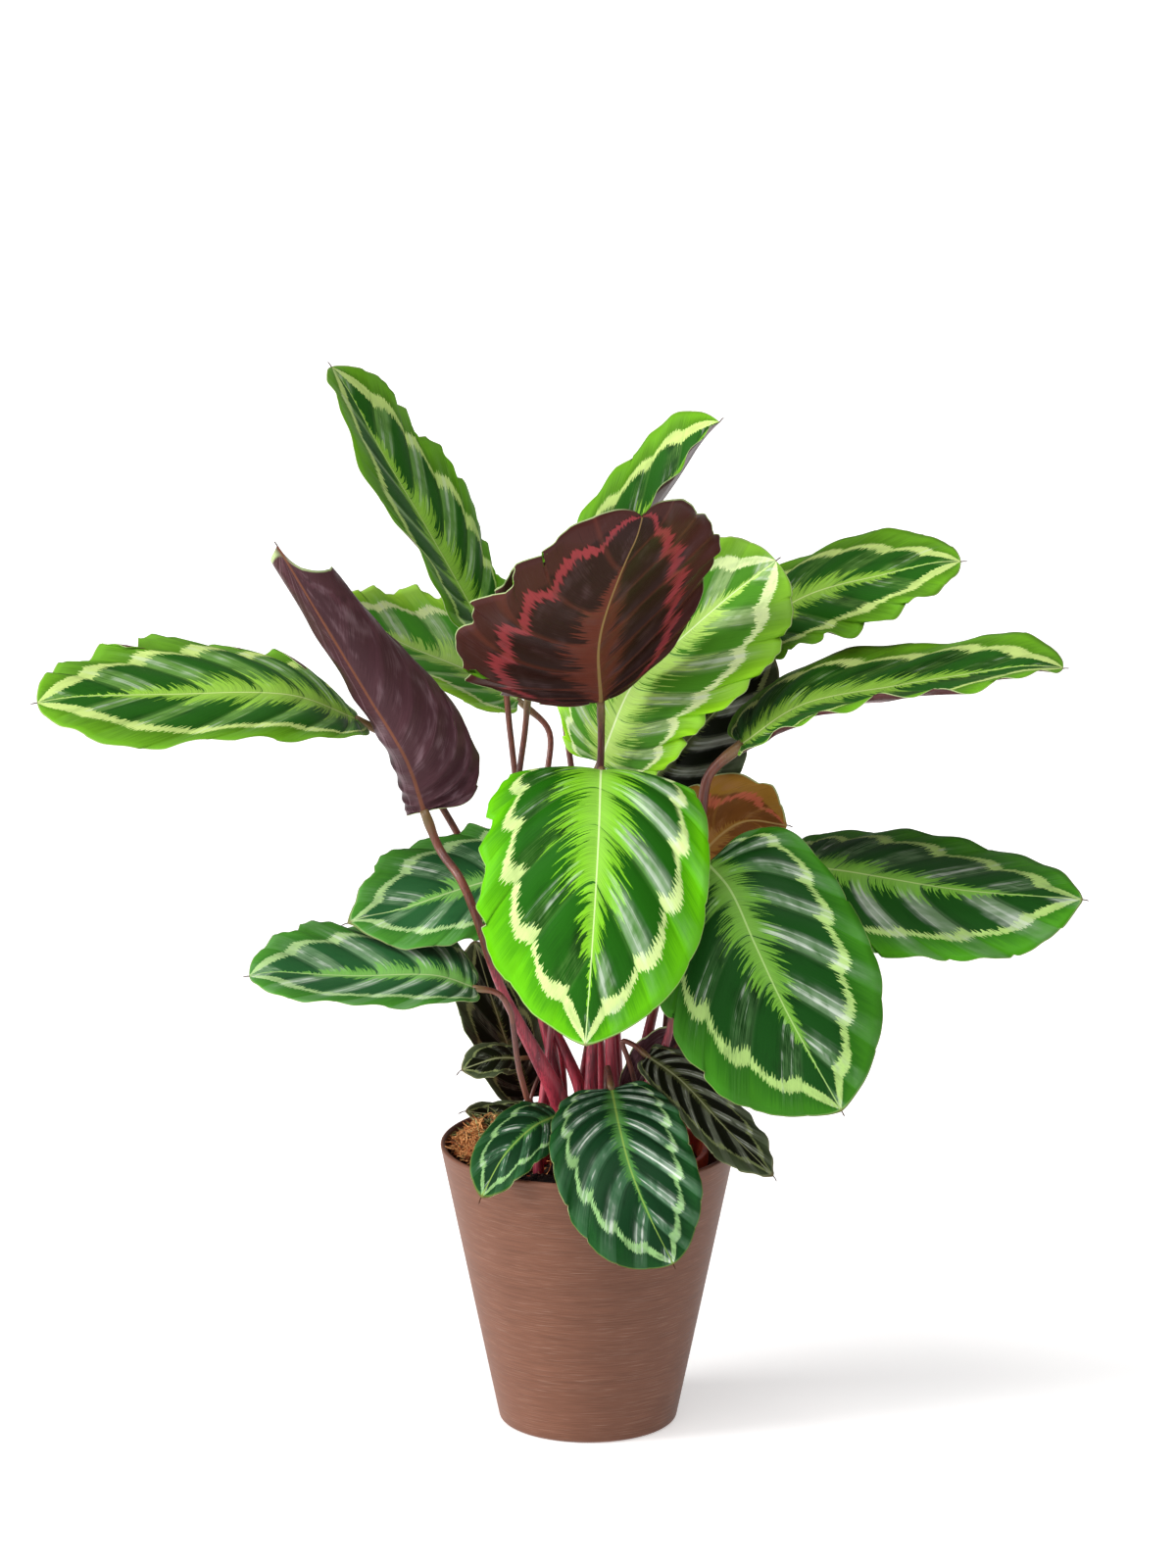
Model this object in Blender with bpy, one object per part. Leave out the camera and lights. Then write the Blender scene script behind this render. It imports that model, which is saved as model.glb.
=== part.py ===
"""A potted calathea: a tapered cover pot, a nursery pot with soil, and leaves on stalks.

Metres, +Z up. The origin is the middle of the pot's flat underside, and +Y points away from
the photograph's viewer. A leaf is placed by the photograph: each point of its midrib is a
pixel column, a pixel row and a depth in millimetres behind the pot's axis, see at().
"""
import math
import random
from collections import namedtuple

import bpy
import numpy as np
from mathutils import Vector
from mathutils.bvhtree import BVHTree

MM = 0.001
GAP = 0.3 * MM  # between neighbouring solids

# The cover pot.
RIM_DIAMETER = 240 * MM
BASE_DIAMETER = 146 * MM
POT_HEIGHT = 235 * MM
POT_WALL = 4 * MM
POT_FLOOR = 6 * MM
FOOT_ROUND = 5 * MM
INNER_ROUND = (4 * MM, 5 * MM)  # where wall and floor meet, across and up
POT_SIDES = 48

# The nursery pot, standing on the cover pot's floor.
NURSERY_RIM_RADIUS = 98 * MM
NURSERY_BASE_RADIUS = 62 * MM
NURSERY_TOP = 231 * MM
NURSERY_WALL = 2 * MM
NURSERY_LIP = 2.5 * MM
NURSERY_LIP_DEPTH = 14 * MM
NURSERY_SIDES = 36

# The soil, with a mound of bark and moss towards the back left.
SOIL_TOP = 216 * MM
SOIL_ROUGH = 1.6 * MM
MOUND_HEIGHT = 25 * MM
MOUND_PLACE = (-73 * MM, 12 * MM)
MOUND_SPREAD = 24 * MM
SOIL_SIDES = NURSERY_SIDES
SOIL_RINGS = 8
SOIL_SEED = 5
SOIL_BELOW_RIM = 2 * MM  # at least, all round
CROWN_HEIGHT = 4 * MM
CROWN_SPREAD = 50 * MM
PLUG_EASE = 0.2 * MM  # extra room round the foot of the soil
HOLE_BOTTOM = 186 * MM
HOLE_TOP = 256 * MM

# The leaves.
BLADE_THICKNESS = 0.9 * MM
PLEAT_SHARE = 0.022  # ridge height between two side veins, as a share of the half width
NOTCH = 0.06  # how far the margin is drawn in where a side vein ends
LOBE_SHARE = 0.03  # how far the blade's shoulders reach back past the stalk
LOBE_PLACE = 0.08  # the shoulders' share of the way round the margin
BASE_SHARE = 0.07  # half width of the edge that meets the stalk
WIDEST = 0.47  # share of the way round the margin where the blade is widest
BASE_ROUND = 2.2  # power that rounds the blade off towards its base
TIP_ROUND = (0.45, 2.8)  # share of the length and power where the tip narrows
VEIN_START = 2.45  # power that sets how far back on the midrib a side vein starts
VEIN_BOW = (1.7, 1.0)  # how much the side veins curve towards the tip, and how much less there
RIDGE_REACH = (0.85, 0.06)  # the pleats' rise from the midrib to the margin
WAVES_PER_VEIN = 0.37
WAVE_START = 0.31  # turns later for each letter of the name, so that leaves differ
LEFT_WAVE_LAG = 1.7
LEAST_BEND = 0.02  # radians, so that a flat half divides by no zero
MIDRIB_SAMPLES = 240

# The stalks.
STALK_SIDES = 7
STALK_RINGS = 11
STALK_FINE = 71  # points along a stalk where its room is measured
STALK_STRAIGHT = 38 * MM  # of each stalk, from the bottom of its hole
STALK_LEAD = 24 * MM  # of each stalk that lies in line with its blade
STALK_TO_BLADE = 0.75 * MM
STALK_RISE = 0.12  # of the span, straight up out of the soil
STALK_LOW = (0.35, 0.07, 0.8)  # share of the way, extra height, share of the shift
STALK_HIGH = (0.70, 0.05, 1.0)
VIA_SHIFT = 0.4
SHIFT_STEP = 4 * MM
SHIFT_STEPS = 15
SHIFT_TURNS = 10
CLEARANCE = 1.2 * MM
OWN_BLADE_ROOM = 14 * MM  # of a stalk next to its own blade, where the room is not measured
ROOM_SOUGHT = 30 * MM

# The photograph's camera, from the pot's ellipses.
PHOTO_PIXEL = 0.789 * MM  # at the pot
EYE_DISTANCE = 7.0
EYE_ELEVATION = math.radians(14.7)
MIDDLE_COLUMN = 601
MIDDLE_ROW = 800
MIDDLE_HEIGHT = 0.5355

COLOURS = {
    "cover_pot": ((0.290, 0.140, 0.100), 0.45),
    "nursery_pot": ((0.520, 0.130, 0.060), 0.55),
    "soil": ((0.075, 0.042, 0.024), 0.95),
    "bright": ((0.130, 0.450, 0.030), 0.35),
    "green": ((0.070, 0.260, 0.030), 0.35),
    "dark": ((0.040, 0.130, 0.045), 0.30),
    "purple": ((0.130, 0.035, 0.040), 0.40),
    "stalk": ((0.210, 0.035, 0.045), 0.40),
}

LEAF_FIELDS = ("name path face wide foot fold curl roll veins wave columns heel blunt sheath"
               " vias tone")
PLAIN = ((0, 0), (0, 0), (), 7, 2.5, 2, 0.75, 0.8, (5.5, 2.6, 0.4), (), "green")
Leaf = namedtuple("Leaf", LEAF_FIELDS, defaults=PLAIN)
# path: (column, row, depth mm) from the blade's base to its tip
# face: the way the upper face looks
# wide: half widths in mm left and right of the midrib, seen on the upper face, tip up
# foot: where the stalk stands in the soil, x and y in mm
# fold: degrees the left and right halves are lifted, at the base, then at the tip if given
# curl: degrees more that each margin is turned up, given in the same way
# roll: radii in mm that the halves are rolled up to instead, given in the same way
# wave: height in mm of the margin's waves; columns: mesh columns in each half
# heel: less than 1 for a round base, more for a tapered one
# blunt: 1 for a pointed tip, less for a blunt one
# sheath: the stalk's radius in mm at its foot and at the blade, and the sheath's share of it
# vias: (column, row, depth mm) that the stalk passes through
# tone: the colour that most of the blade shows, purple where the underside is seen

LEAVES = (
    Leaf("far_left", ((365, 734, 8), (300, 710, -8), (165, 709, -32), (39, 712, -48)),
         (0, -0.30, 0.95), (101, 106), (-5, 13), fold=(14, -12, 0, 0), veins=8, wave=4,
         heel=1.15, blunt=0.55, sheath=(6.5, 3.0, 0.35)),
    Leaf("tall_left", ((494, 642, 84), (439, 544, 92), (385, 452, 106), (343, 372, 124)),
         (0.71, -0.34, 0.50), (103, 80), (-26, 42), fold=(18, 4), veins=8, wave=4, heel=0.6,
         blunt=0.55),
    Leaf("rolled_left", ((434, 828, -42), (416, 776, -44), (374, 706, -52), (328, 630, -64),
                         (284, 557, -78)),
         (0.15, 0.95, 0.25), (84, 83), (-16, -27), roll=(53, 21, 9, 17), veins=9, wave=1.5,
         columns=4, heel=0.7, blunt=1.1, sheath=(9.0, 3.6, 0.55),
         vias=((511, 1002, -62), (475, 905, -72)), tone="purple"),
    Leaf("back_left", ((530, 715, 138), (476, 684, 144), (404, 653, 154), (345, 612, 158)),
         (0.30, -0.40, 0.87), (85, 85), (-22, 62), fold=(20, 0)),
    Leaf("big_brown", ((614, 717, 8), (612, 656, -30), (632, 590, -76), (664, 521, -106)),
         (-0.10, 0.78, 0.62), (116, 122), (2, -14), fold=(28, 6, 30, -27), curl=(8, 0), veins=8,
         wave=5, columns=3, heel=1.1, blunt=0.6, sheath=(6.5, 3.0, 0.45), tone="purple"),
    Leaf("top_right", ((588, 640, 142), (632, 570, 144), (690, 492, 147), (730, 428, 150)),
         (-0.80, -0.50, 0.30), (71, 66), (12, 47), fold=(0, 42), wave=3, blunt=0.4),
    Leaf("brown_back", ((540, 706, 28), (543, 655, 2), (550, 605, -24), (556, 568, -50)),
         (0, 0.97, 0.25), (56, 38), (-23, 15), wave=3, tone="purple"),
    Leaf("bright_right", ((613, 778, 52), (650, 694, 50), (698, 650, 56), (745, 609, 66),
                          (793, 572, 76)),
         (-0.30, -0.85, 0.20), (62, 88), (12, 9), fold=(0, 28), veins=8, wave=4,
         columns=3, blunt=0.45, tone="bright"),
    Leaf("upper_right", ((755, 648, 122), (829, 606, 128), (905, 586, 125), (980, 568, 118)),
         (-0.20, -0.30, 0.93), (68, 77), (24, 55), wave=4, blunt=0.6),
    Leaf("right_rolled", ((757, 760, 2), (818, 720, 6), (915, 700, 0), (1015, 684, -12),
                          (1084, 673, -20)),
         (-0.15, -0.18, 0.97), (76, 70), (40, 40), curl=(0, 30), veins=8,
         wave=4, columns=3, blunt=0.45, sheath=(6.5, 4.2, 0.3), vias=((712, 855, 4),)),
    Leaf("shaded_right", ((650, 812, 82), (690, 770, 90), (740, 718, 100), (792, 672, 108)),
         (-0.35, -0.60, 0.70), (60, 60), (21, 26)),
    Leaf("front_bright", ((615, 786, -38), (614, 790, -68), (612, 850, -112), (607, 940, -140),
                          (598, 1068, -150)),
         (0, -0.80, 0.60), (90, 97), (20, -10), curl=(-16, -16), veins=8, wave=3, columns=3,
         sheath=(7.5, 3.0, 0.45), tone="bright"),
    Leaf("front_right", ((723, 881, -44), (746, 908, -68), (772, 965, -90), (805, 1035, -106),
                         (860, 1134, -110)),
         (-0.10, -0.80, 0.55), (84, 90), (38, -15), veins=8, wave=3, columns=3,
         sheath=(6.5, 3.0, 0.4), vias=((684, 1054, -11),)),
    Leaf("low_right", ((815, 882, 26), (870, 890, 20), (979, 908, 10), (1106, 918, 0)),
         (0.05, -0.50, 0.86), (86, 86), (70, 24), fold=(-18, 0), wave=4, blunt=0.75),
    Leaf("amber_back", ((705, 900, 36), (722, 866, 32), (760, 838, 28), (804, 842, 24)),
         (0.10, 0.95, 0.30), (50, 50), (56, 36), tone="purple"),
    Leaf("mid_left", ((548, 885, -18), (469, 908, -21), (406, 929, -32), (356, 938, -44)),
         (-0.15, -0.60, 0.78), (58, 64), (-37, -8), fold=(5, 0), wave=3, blunt=1),
    Leaf("low_left", ((485, 1008, -82), (447, 996, -86), (356, 996, -94), (256, 990, -102)),
         (0, -0.35, 0.93), (70, 74), (-40, -38), fold=(15, 0), wave=3, heel=1.1, blunt=0.5,
         sheath=(4.5, 2.4, 0.3), vias=((531, 1092, -60),), tone="dark"),
    Leaf("small_dark", ((531, 1080, 15), (508, 1080, 8), (488, 1086, 2), (472, 1092, -2)),
         (0, -0.60, 0.80), (18, 18), (-56, 6), veins=5, wave=1.5, sheath=(3.0, 1.7, 0.3),
         tone="dark"),
    Leaf("rim_left", ((570, 1138, -57), (545, 1150, -78), (515, 1180, -102), (492, 1222, -120)),
         (-0.15, -0.75, 0.65), (26, 27), (-18, -52), veins=6, wave=2, sheath=(3.6, 2.0, 0.3),
         tone="dark"),
    Leaf("front_low", ((625, 1111, -58), (633, 1150, -95), (645, 1195, -122),
                       (664, 1242, -138), (688, 1290, -140)),
         (0, -0.85, 0.50), (52, 60), (14, -44), veins=9, wave=3, blunt=0.65, sheath=(5.0, 2.6, 0.3)),
    Leaf("right_low", ((662, 1078, -32), (695, 1102, -40), (740, 1150, -48), (790, 1200, -58)),
         (0.35, -0.50, 0.75), (32, 32), (52, -36), veins=8, wave=2, sheath=(4.0, 2.2, 0.3),
         tone="dark"),
    Leaf("purple_low", ((658, 1148, 12), (666, 1118, 14), (682, 1082, 14), (705, 1045, 10)),
         (0, 0.97, 0.20), (28, 30), (46, 10), veins=6, sheath=(4.0, 2.2, 0.3), tone="purple"),
    Leaf("soil_leaf", ((548, 1139, 25), (525, 1136, 22), (500, 1137, 18), (476, 1134, 12)),
         (0, -0.50, 0.85), (15, 15), (-36, 22), veins=5, wave=1, sheath=(3.0, 1.6, 0.3), tone="dark"),
    Leaf("shade_left", ((540, 1120, 50), (522, 1075, 62), (503, 1020, 85), (485, 960, 110)),
         (0.50, -0.60, 0.50), (38, 38), (-52, 52), veins=6, tone="dark"),
    Leaf("rear_high", ((650, 752, 140), (660, 700, 175), (672, 660, 215), (684, 640, 262)),
         (0, -0.30, 0.95), (72, 72), (16, 74), wave=4),
    Leaf("rear_middle", ((604, 880, 108), (598, 850, 143), (590, 870, 203), (580, 940, 250)),
         (0, 0.30, 0.95), (72, 72), (-5, 79), wave=4),
    Leaf("rear_right", ((690, 930, 85), (720, 900, 120), (760, 915, 170), (785, 965, 210)),
         (0.2, 0.10, 0.97), (66, 64), (44, 62), wave=3),
)


def at(column, row, depth):
    """The point, in metres, that the photograph shows at a pixel, at a depth in mm."""
    focal = EYE_DISTANCE / PHOTO_PIXEL
    cosine = math.cos(EYE_ELEVATION)
    sine = math.sin(EYE_ELEVATION)
    across = (column - MIDDLE_COLUMN) / focal
    up = (MIDDLE_ROW - row) / focal
    way = np.array((across, cosine + up * sine, -sine + up * cosine))
    eye = np.array((0.0, -EYE_DISTANCE * cosine, MIDDLE_HEIGHT + EYE_DISTANCE * sine))
    return eye + way * ((depth * MM - eye[1]) / way[1])


def smooth(points, count):
    """Evenly spaced points on a centripetal curve through the points."""
    points = [np.asarray(p, float) for p in points]
    first = 2 * points[0] - points[1]
    last = 2 * points[-1] - points[-2]
    points = [first] + points + [last]
    dense = []
    for a, b, c, d in zip(points, points[1:], points[2:], points[3:]):
        knots = [0.0]
        for p, q in ((a, b), (b, c), (c, d)):
            knots.append(knots[-1] + math.sqrt(np.linalg.norm(q - p)))
        t0, t1, t2, t3 = knots
        t = np.linspace(t1, t2, 60, endpoint=False)[:, None]
        p = a * (t1 - t) / (t1 - t0) + b * (t - t0) / (t1 - t0)
        q = b * (t2 - t) / (t2 - t1) + c * (t - t1) / (t2 - t1)
        r = c * (t3 - t) / (t3 - t2) + d * (t - t2) / (t3 - t2)
        pq = p * (t2 - t) / (t2 - t0) + q * (t - t0) / (t2 - t0)
        qr = q * (t3 - t) / (t3 - t1) + r * (t - t1) / (t3 - t1)
        dense.append(pq * (t2 - t) / (t2 - t1) + qr * (t - t1) / (t2 - t1))
    dense = np.vstack(dense + [points[-2][None, :]])
    run = np.concatenate(([0], np.cumsum(np.linalg.norm(np.diff(dense, axis=0), axis=1))))
    even = np.linspace(0, run[-1], count)
    return np.stack([np.interp(even, run, dense[:, k]) for k in range(3)], axis=1), run[-1]


def unit(vectors):
    return vectors / np.linalg.norm(vectors, axis=-1, keepdims=True)


class Midrib:
    """A blade's middle line with, at each share u of its length, its run, side and face ways."""

    def __init__(self, leaf):
        self.points, self.length = smooth([at(*p) for p in leaf.path], MIDRIB_SAMPLES)
        self.run = unit(np.gradient(self.points, axis=0))
        hint = np.array(leaf.face)
        self.face = unit(hint - self.run * np.sum(hint * self.run, axis=1, keepdims=True))
        self.side = np.cross(self.run, self.face)

    def place(self, u, across, lift):
        """The points at share u along, moved across and lifted, all arrays of one shape."""
        inner = np.clip(u, 0, 1)
        index = inner * (MIDRIB_SAMPLES - 1)
        low = np.minimum(index.astype(int), MIDRIB_SAMPLES - 2)
        part = (index - low)[..., None]

        def mix(values):
            return values[low] * (1 - part) + values[low + 1] * part

        beyond = ((u - inner) * self.length)[..., None]
        spot = mix(self.points) + mix(self.run) * beyond
        return spot + mix(self.side) * across[..., None] + mix(self.face) * lift[..., None]


def half_width(q, leaf):
    """The half width at the margin's share q of the way round, as a share of the greatest."""
    near = (1 - np.clip(1 - q / WIDEST, 0, 1) ** BASE_ROUND) ** leaf.heel
    along = (1 - np.cos(math.pi * q)) / 2
    past = np.clip((along - TIP_ROUND[0]) / (1 - TIP_ROUND[0]), 0, 1)
    far = (1 - past ** TIP_ROUND[1]) ** leaf.blunt
    return np.where(q < WIDEST, np.maximum(near, BASE_SHARE), far)


def by_side(values, t, q):
    """The left or right half's value, going over to the tip's values if there are any."""
    values = values if len(values) == 4 else values * 2
    first = np.where(t < 0, values[0], values[1])
    last = np.where(t < 0, values[2], values[3])
    return first + (last - first) * q


def blade_grid(leaf, rib, q, t):
    """The middle surface for row shares q and column shares t, -1 at the left margin to 1.

    A row follows a side vein, from the midrib to a point further on at the margin.
    """
    q, t = np.meshgrid(q, t, indexing="ij")
    reach = np.abs(t)
    end = (1 - np.cos(math.pi * q)) / 2
    start = q ** VEIN_START
    bow = VEIN_BOW[0] - VEIN_BOW[1] * q ** 3
    lobe = LOBE_SHARE * (q / LOBE_PLACE) ** 2 * np.exp(2 - 2 * q / LOBE_PLACE)
    u = start + (end - start) * reach ** bow - lobe * reach ** 2
    ridge = np.abs(np.sin(math.pi * leaf.veins * q))
    width = half_width(q, leaf) * (1 - NOTCH * (1 - ridge) * reach)
    greatest = np.where(t < 0, leaf.wide[0], leaf.wide[1]) * MM
    fold = np.radians(by_side(leaf.fold, t, q))
    span = greatest * width
    curl = np.radians(by_side(leaf.curl, t, q))
    if leaf.roll:
        curl = span / (by_side(leaf.roll, t, q) * MM)
    curl = np.where(np.abs(curl) < LEAST_BEND, LEAST_BEND, curl)
    turned = fold + curl * reach
    across = span * (np.sin(turned) - np.sin(fold)) / curl
    lift = span * (np.cos(fold) - np.cos(turned)) / curl
    rise = np.minimum(reach * RIDGE_REACH[0] + RIDGE_REACH[1], 1)
    pleat = PLEAT_SHARE * greatest * np.sin(math.pi * rise)
    lift = lift + pleat * ridge * np.minimum(1, width * 1.2) * (reach > 0)
    turn = 2 * math.pi * (leaf.veins * WAVES_PER_VEIN * q + WAVE_START * len(leaf.name))
    wave = np.sin(turn + np.where(t < 0, LEFT_WAVE_LAG, 0)) * leaf.wave * MM
    lift = lift + wave * reach ** 2 * np.minimum(1, 4 * q * (1 - q))
    return rib.place(u, np.sign(t) * across, lift)


def grid_normals(grid):
    along = np.gradient(grid, axis=0)
    across = np.gradient(grid, axis=1)
    return unit(np.cross(across, along))


def blade_mesh(leaf, rib):
    """A closed skin: the middle surface moved half a thickness each way, split alike."""
    rows = np.arange(2 * leaf.veins) / (2 * leaf.veins)
    columns = np.linspace(-1, 1, 2 * leaf.columns + 1)
    grid = blade_grid(leaf, rib, rows, columns)
    tip = rib.place(np.array([1.0]), np.array([0.0]), np.array([0.0]))[0]
    normals = grid_normals(grid)
    tip_normal = unit(normals[-1, leaf.columns])
    half = BLADE_THICKNESS / 2
    top = np.vstack(((grid + normals * half).reshape(-1, 3), tip + tip_normal * half))
    bottom = np.vstack(((grid - normals * half).reshape(-1, 3), tip - tip_normal * half))
    count = len(top)
    wide = len(columns)
    faces = []
    for i in range(len(rows) - 1):
        for j in range(wide - 1):
            a, b = i * wide + j, i * wide + j + 1
            c, d = b + wide, a + wide
            left = j < leaf.columns
            faces += [(a, b, c), (a, c, d)] if not left else [(a, b, d), (b, c, d)]
    last = (len(rows) - 1) * wide
    faces += [(last + j, last + j + 1, count - 1) for j in range(wide - 1)]
    rim = list(range(wide)) + [i * wide + wide - 1 for i in range(1, len(rows))]
    rim += [count - 1] + [i * wide for i in range(len(rows) - 1, 0, -1)]
    whole = list(faces) + [(c + count, b + count, a + count) for a, b, c in faces]
    for a, b in zip(rim, rim[1:] + rim[:1]):
        whole += [(b, a, a + count), (b, a + count, b + count)]
    return np.vstack((top, bottom)), whole


def stalk_points(leaf, rib, shift):
    """The stalk's middle line: up out of its hole, through its vias, in line with its blade."""
    x, y = leaf.foot[0] * MM, leaf.foot[1] * MM
    bottom = np.array((x, y, HOLE_BOTTOM))
    root = bottom + (0, 0, STALK_STRAIGHT)
    end = rib.points[0] - rib.run[0] * STALK_TO_BLADE
    room = min(STALK_LEAD, 0.4 * np.linalg.norm(end - root))
    lead = end - rib.run[0] * room
    span = np.linalg.norm(lead - root)
    rise = root + (0, 0, STALK_RISE * span)
    vias = [at(*v) for v in leaf.vias]
    if vias:
        rise = rise + shift * VIA_SHIFT
        vias[0] = vias[0] + shift * VIA_SHIFT
    else:
        for way, height, moved in (STALK_LOW, STALK_HIGH):
            vias.append(root + (lead - root) * way + (0, 0, height * span) + shift * moved)
    return bottom, smooth([root, rise] + vias + [lead, end], STALK_FINE)[0]


def ring_places():
    """Which points of a stalk's middle line carry a ring."""
    return np.linspace(0, STALK_FINE - 1, STALK_RINGS).round().astype(int)


def chords(line):
    """The straight runs between rings, at as many points as the middle line has."""
    keep = ring_places()
    spots = np.arange(STALK_FINE)
    return np.stack([np.interp(spots, keep, line[keep, k]) for k in range(3)], axis=1)


def stalk_radius(leaf, share):
    foot, top, sheath = leaf.sheath
    fade = np.clip(share / sheath, 0, 1)
    fade = fade * fade * (3 - 2 * fade)
    return (foot + (top - foot) * fade) * MM


def worst_room(leaf, line, blades, stalks):
    """The least room between this stalk's skin and any blade or earlier stalk."""
    share = np.linspace(0, 1, len(line))
    radius = stalk_radius(leaf, share)
    to_end = np.linalg.norm(line - line[-1], axis=1)
    worst = 1.0
    for points in (line, chords(line)):
        for name, tree in blades.items():
            for point, r, left in zip(points, radius, to_end):
                if name == leaf.name and left < OWN_BLADE_ROOM:
                    continue
                near = tree.find_nearest(Vector(point), ROOM_SOUGHT)
                if near[0] is not None:
                    worst = min(worst, near[3] - r)
        for other, other_radius in stalks:
            gaps = np.linalg.norm(points[:, None, :] - other[None, :, :], axis=2)
            worst = min(worst, np.min(gaps - radius[:, None] - other_radius[None, :]))
    return worst


def route(leaf, rib, blades, stalks):
    """The first way for the stalk that is clear of every blade and earlier stalk."""
    best = (-1.0, None, None)
    for step in range(SHIFT_STEPS):
        for turn in range(SHIFT_TURNS if step else 1):
            angle = 2 * math.pi * turn / SHIFT_TURNS + 4 * step
            shift = np.array((math.cos(angle), math.sin(angle), 0)) * SHIFT_STEP * step
            bottom, line = stalk_points(leaf, rib, shift)
            room = worst_room(leaf, line, blades, stalks)
            if room > best[0]:
                best = (room, bottom, line)
            if room > CLEARANCE:
                return bottom, line
    return best[1:]


def stalk_mesh(leaf, bottom, line):
    """Rings along the stalk, with a flat cap at each end."""
    keep = ring_places()
    share = keep / (len(line) - 1)
    centres = np.vstack((bottom, line[keep]))
    radii = np.concatenate(([leaf.sheath[0] * MM], stalk_radius(leaf, share)))
    runs = unit(np.gradient(line, axis=0))[keep]
    runs = np.vstack(((0, 0, 1), (0, 0, 1), runs[1:-1], line[-1] - line[-2]))
    runs = unit(runs)
    side = np.array((1.0, 0.0, 0.0))
    verts = []
    for centre, radius, run in zip(centres, radii, runs):
        side = unit(side - run * np.dot(side, run))
        other = np.cross(run, side)
        for k in range(STALK_SIDES):
            angle = 2 * math.pi * k / STALK_SIDES
            verts.append(centre + (side * math.cos(angle) + other * math.sin(angle)) * radius)
    faces = []
    for i in range(len(centres) - 1):
        for k in range(STALK_SIDES):
            a = i * STALK_SIDES + k
            b = i * STALK_SIDES + (k + 1) % STALK_SIDES
            faces.append((a, b, b + STALK_SIDES, a + STALK_SIDES))
    top = (len(centres) - 1) * STALK_SIDES
    faces.append(tuple(range(STALK_SIDES - 1, -1, -1)))
    faces.append(tuple(range(top, top + STALK_SIDES)))
    return verts, faces


def add_object(name, verts, faces, kind, smooth_angle=None):
    mesh = bpy.data.meshes.new(name)
    mesh.from_pydata([tuple(v) for v in verts], [], faces)
    mesh.validate()
    mesh.materials.append(material(name, kind))
    thing = bpy.data.objects.new(name, mesh)
    bpy.context.collection.objects.link(thing)
    mesh.shade_smooth()
    if smooth_angle:
        mesh.set_sharp_from_angle(angle=math.radians(smooth_angle))
    return thing


def material(name, kind):
    colour, roughness = COLOURS[kind]
    made = bpy.data.materials.new(name)
    made.use_nodes = True
    shader = made.node_tree.nodes["Principled BSDF"]
    shader.inputs["Base Color"].default_value = (*colour, 1)
    shader.inputs["Roughness"].default_value = roughness
    return made


def lathe(name, profile, sides, kind):
    """A closed body turned about Z from (radius, height) pairs; radius 0 is a point."""
    verts = []
    rings = []
    for radius, height in profile:
        if radius == 0:
            rings.append([len(verts)])
            verts.append((0, 0, height))
            continue
        ring = []
        for k in range(sides):
            angle = 2 * math.pi * k / sides
            ring.append(len(verts))
            verts.append((radius * math.cos(angle), radius * math.sin(angle), height))
        rings.append(ring)
    faces = []
    for low, high in zip(rings, rings[1:]):
        for k in range(sides):
            n = (k + 1) % sides
            corners = [low[k % len(low)], low[n % len(low)], high[n % len(high)],
                       high[k % len(high)]]
            faces.append(tuple(dict.fromkeys(corners)))
    return add_object(name, verts, faces, kind, 40)


def arc(middle, radius, start, stop, steps):
    """(radius, height) pairs on an arc, in degrees from outward, turning up."""
    pairs = []
    for k in range(steps + 1):
        angle = math.radians(start + (stop - start) * k / steps)
        pairs.append((middle[0] + radius * math.cos(angle), middle[1] + radius * math.sin(angle)))
    return pairs


def cover_pot():
    """The tapered pot: flat underside, rounded foot, plain half round rim."""
    foot = (BASE_DIAMETER / 2 - FOOT_ROUND, FOOT_ROUND)
    lip = (RIM_DIAMETER / 2 - POT_WALL / 2, POT_HEIGHT - POT_WALL / 2)
    inner_foot = BASE_DIAMETER / 2 - POT_WALL
    profile = [(0, 0)] + arc(foot, FOOT_ROUND, -90, -12, 3) + arc(lip, POT_WALL / 2, -12, 180, 5)
    across, up = INNER_ROUND
    profile += [(inner_foot, POT_FLOOR + up), (inner_foot - across, POT_FLOOR), (0, POT_FLOOR)]
    return lathe("cover_pot", profile, POT_SIDES, "cover_pot")


def nursery_inside(height):
    """The nursery pot's inner radius at a height."""
    share = (height - POT_FLOOR) / (NURSERY_TOP - POT_FLOOR)
    outside = NURSERY_BASE_RADIUS
    outside += (NURSERY_RIM_RADIUS - NURSERY_LIP - NURSERY_BASE_RADIUS) * share
    return outside - NURSERY_WALL


def nursery_pot():
    bottom = POT_FLOOR + GAP
    floor = bottom + NURSERY_WALL
    wall_top = NURSERY_TOP - NURSERY_LIP_DEPTH
    profile = [(0, bottom), (nursery_inside(bottom) + NURSERY_WALL, bottom)]
    profile += [(nursery_inside(wall_top) + NURSERY_WALL, wall_top)]
    profile += [(NURSERY_RIM_RADIUS, wall_top + NURSERY_LIP), (NURSERY_RIM_RADIUS, NURSERY_TOP)]
    profile += [(nursery_inside(NURSERY_TOP), NURSERY_TOP), (nursery_inside(floor), floor)]
    return lathe("nursery_pot", profile + [(0, floor)], NURSERY_SIDES, "nursery_pot")


def soil_height(x, y, noise):
    away = math.hypot(x - MOUND_PLACE[0], y - MOUND_PLACE[1])
    mound = MOUND_HEIGHT * math.exp(-((away / MOUND_SPREAD) ** 2))
    crown = CROWN_HEIGHT * math.exp(-((math.hypot(x, y) / CROWN_SPREAD) ** 2))
    return SOIL_TOP + mound + crown + SOIL_ROUGH * noise


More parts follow.
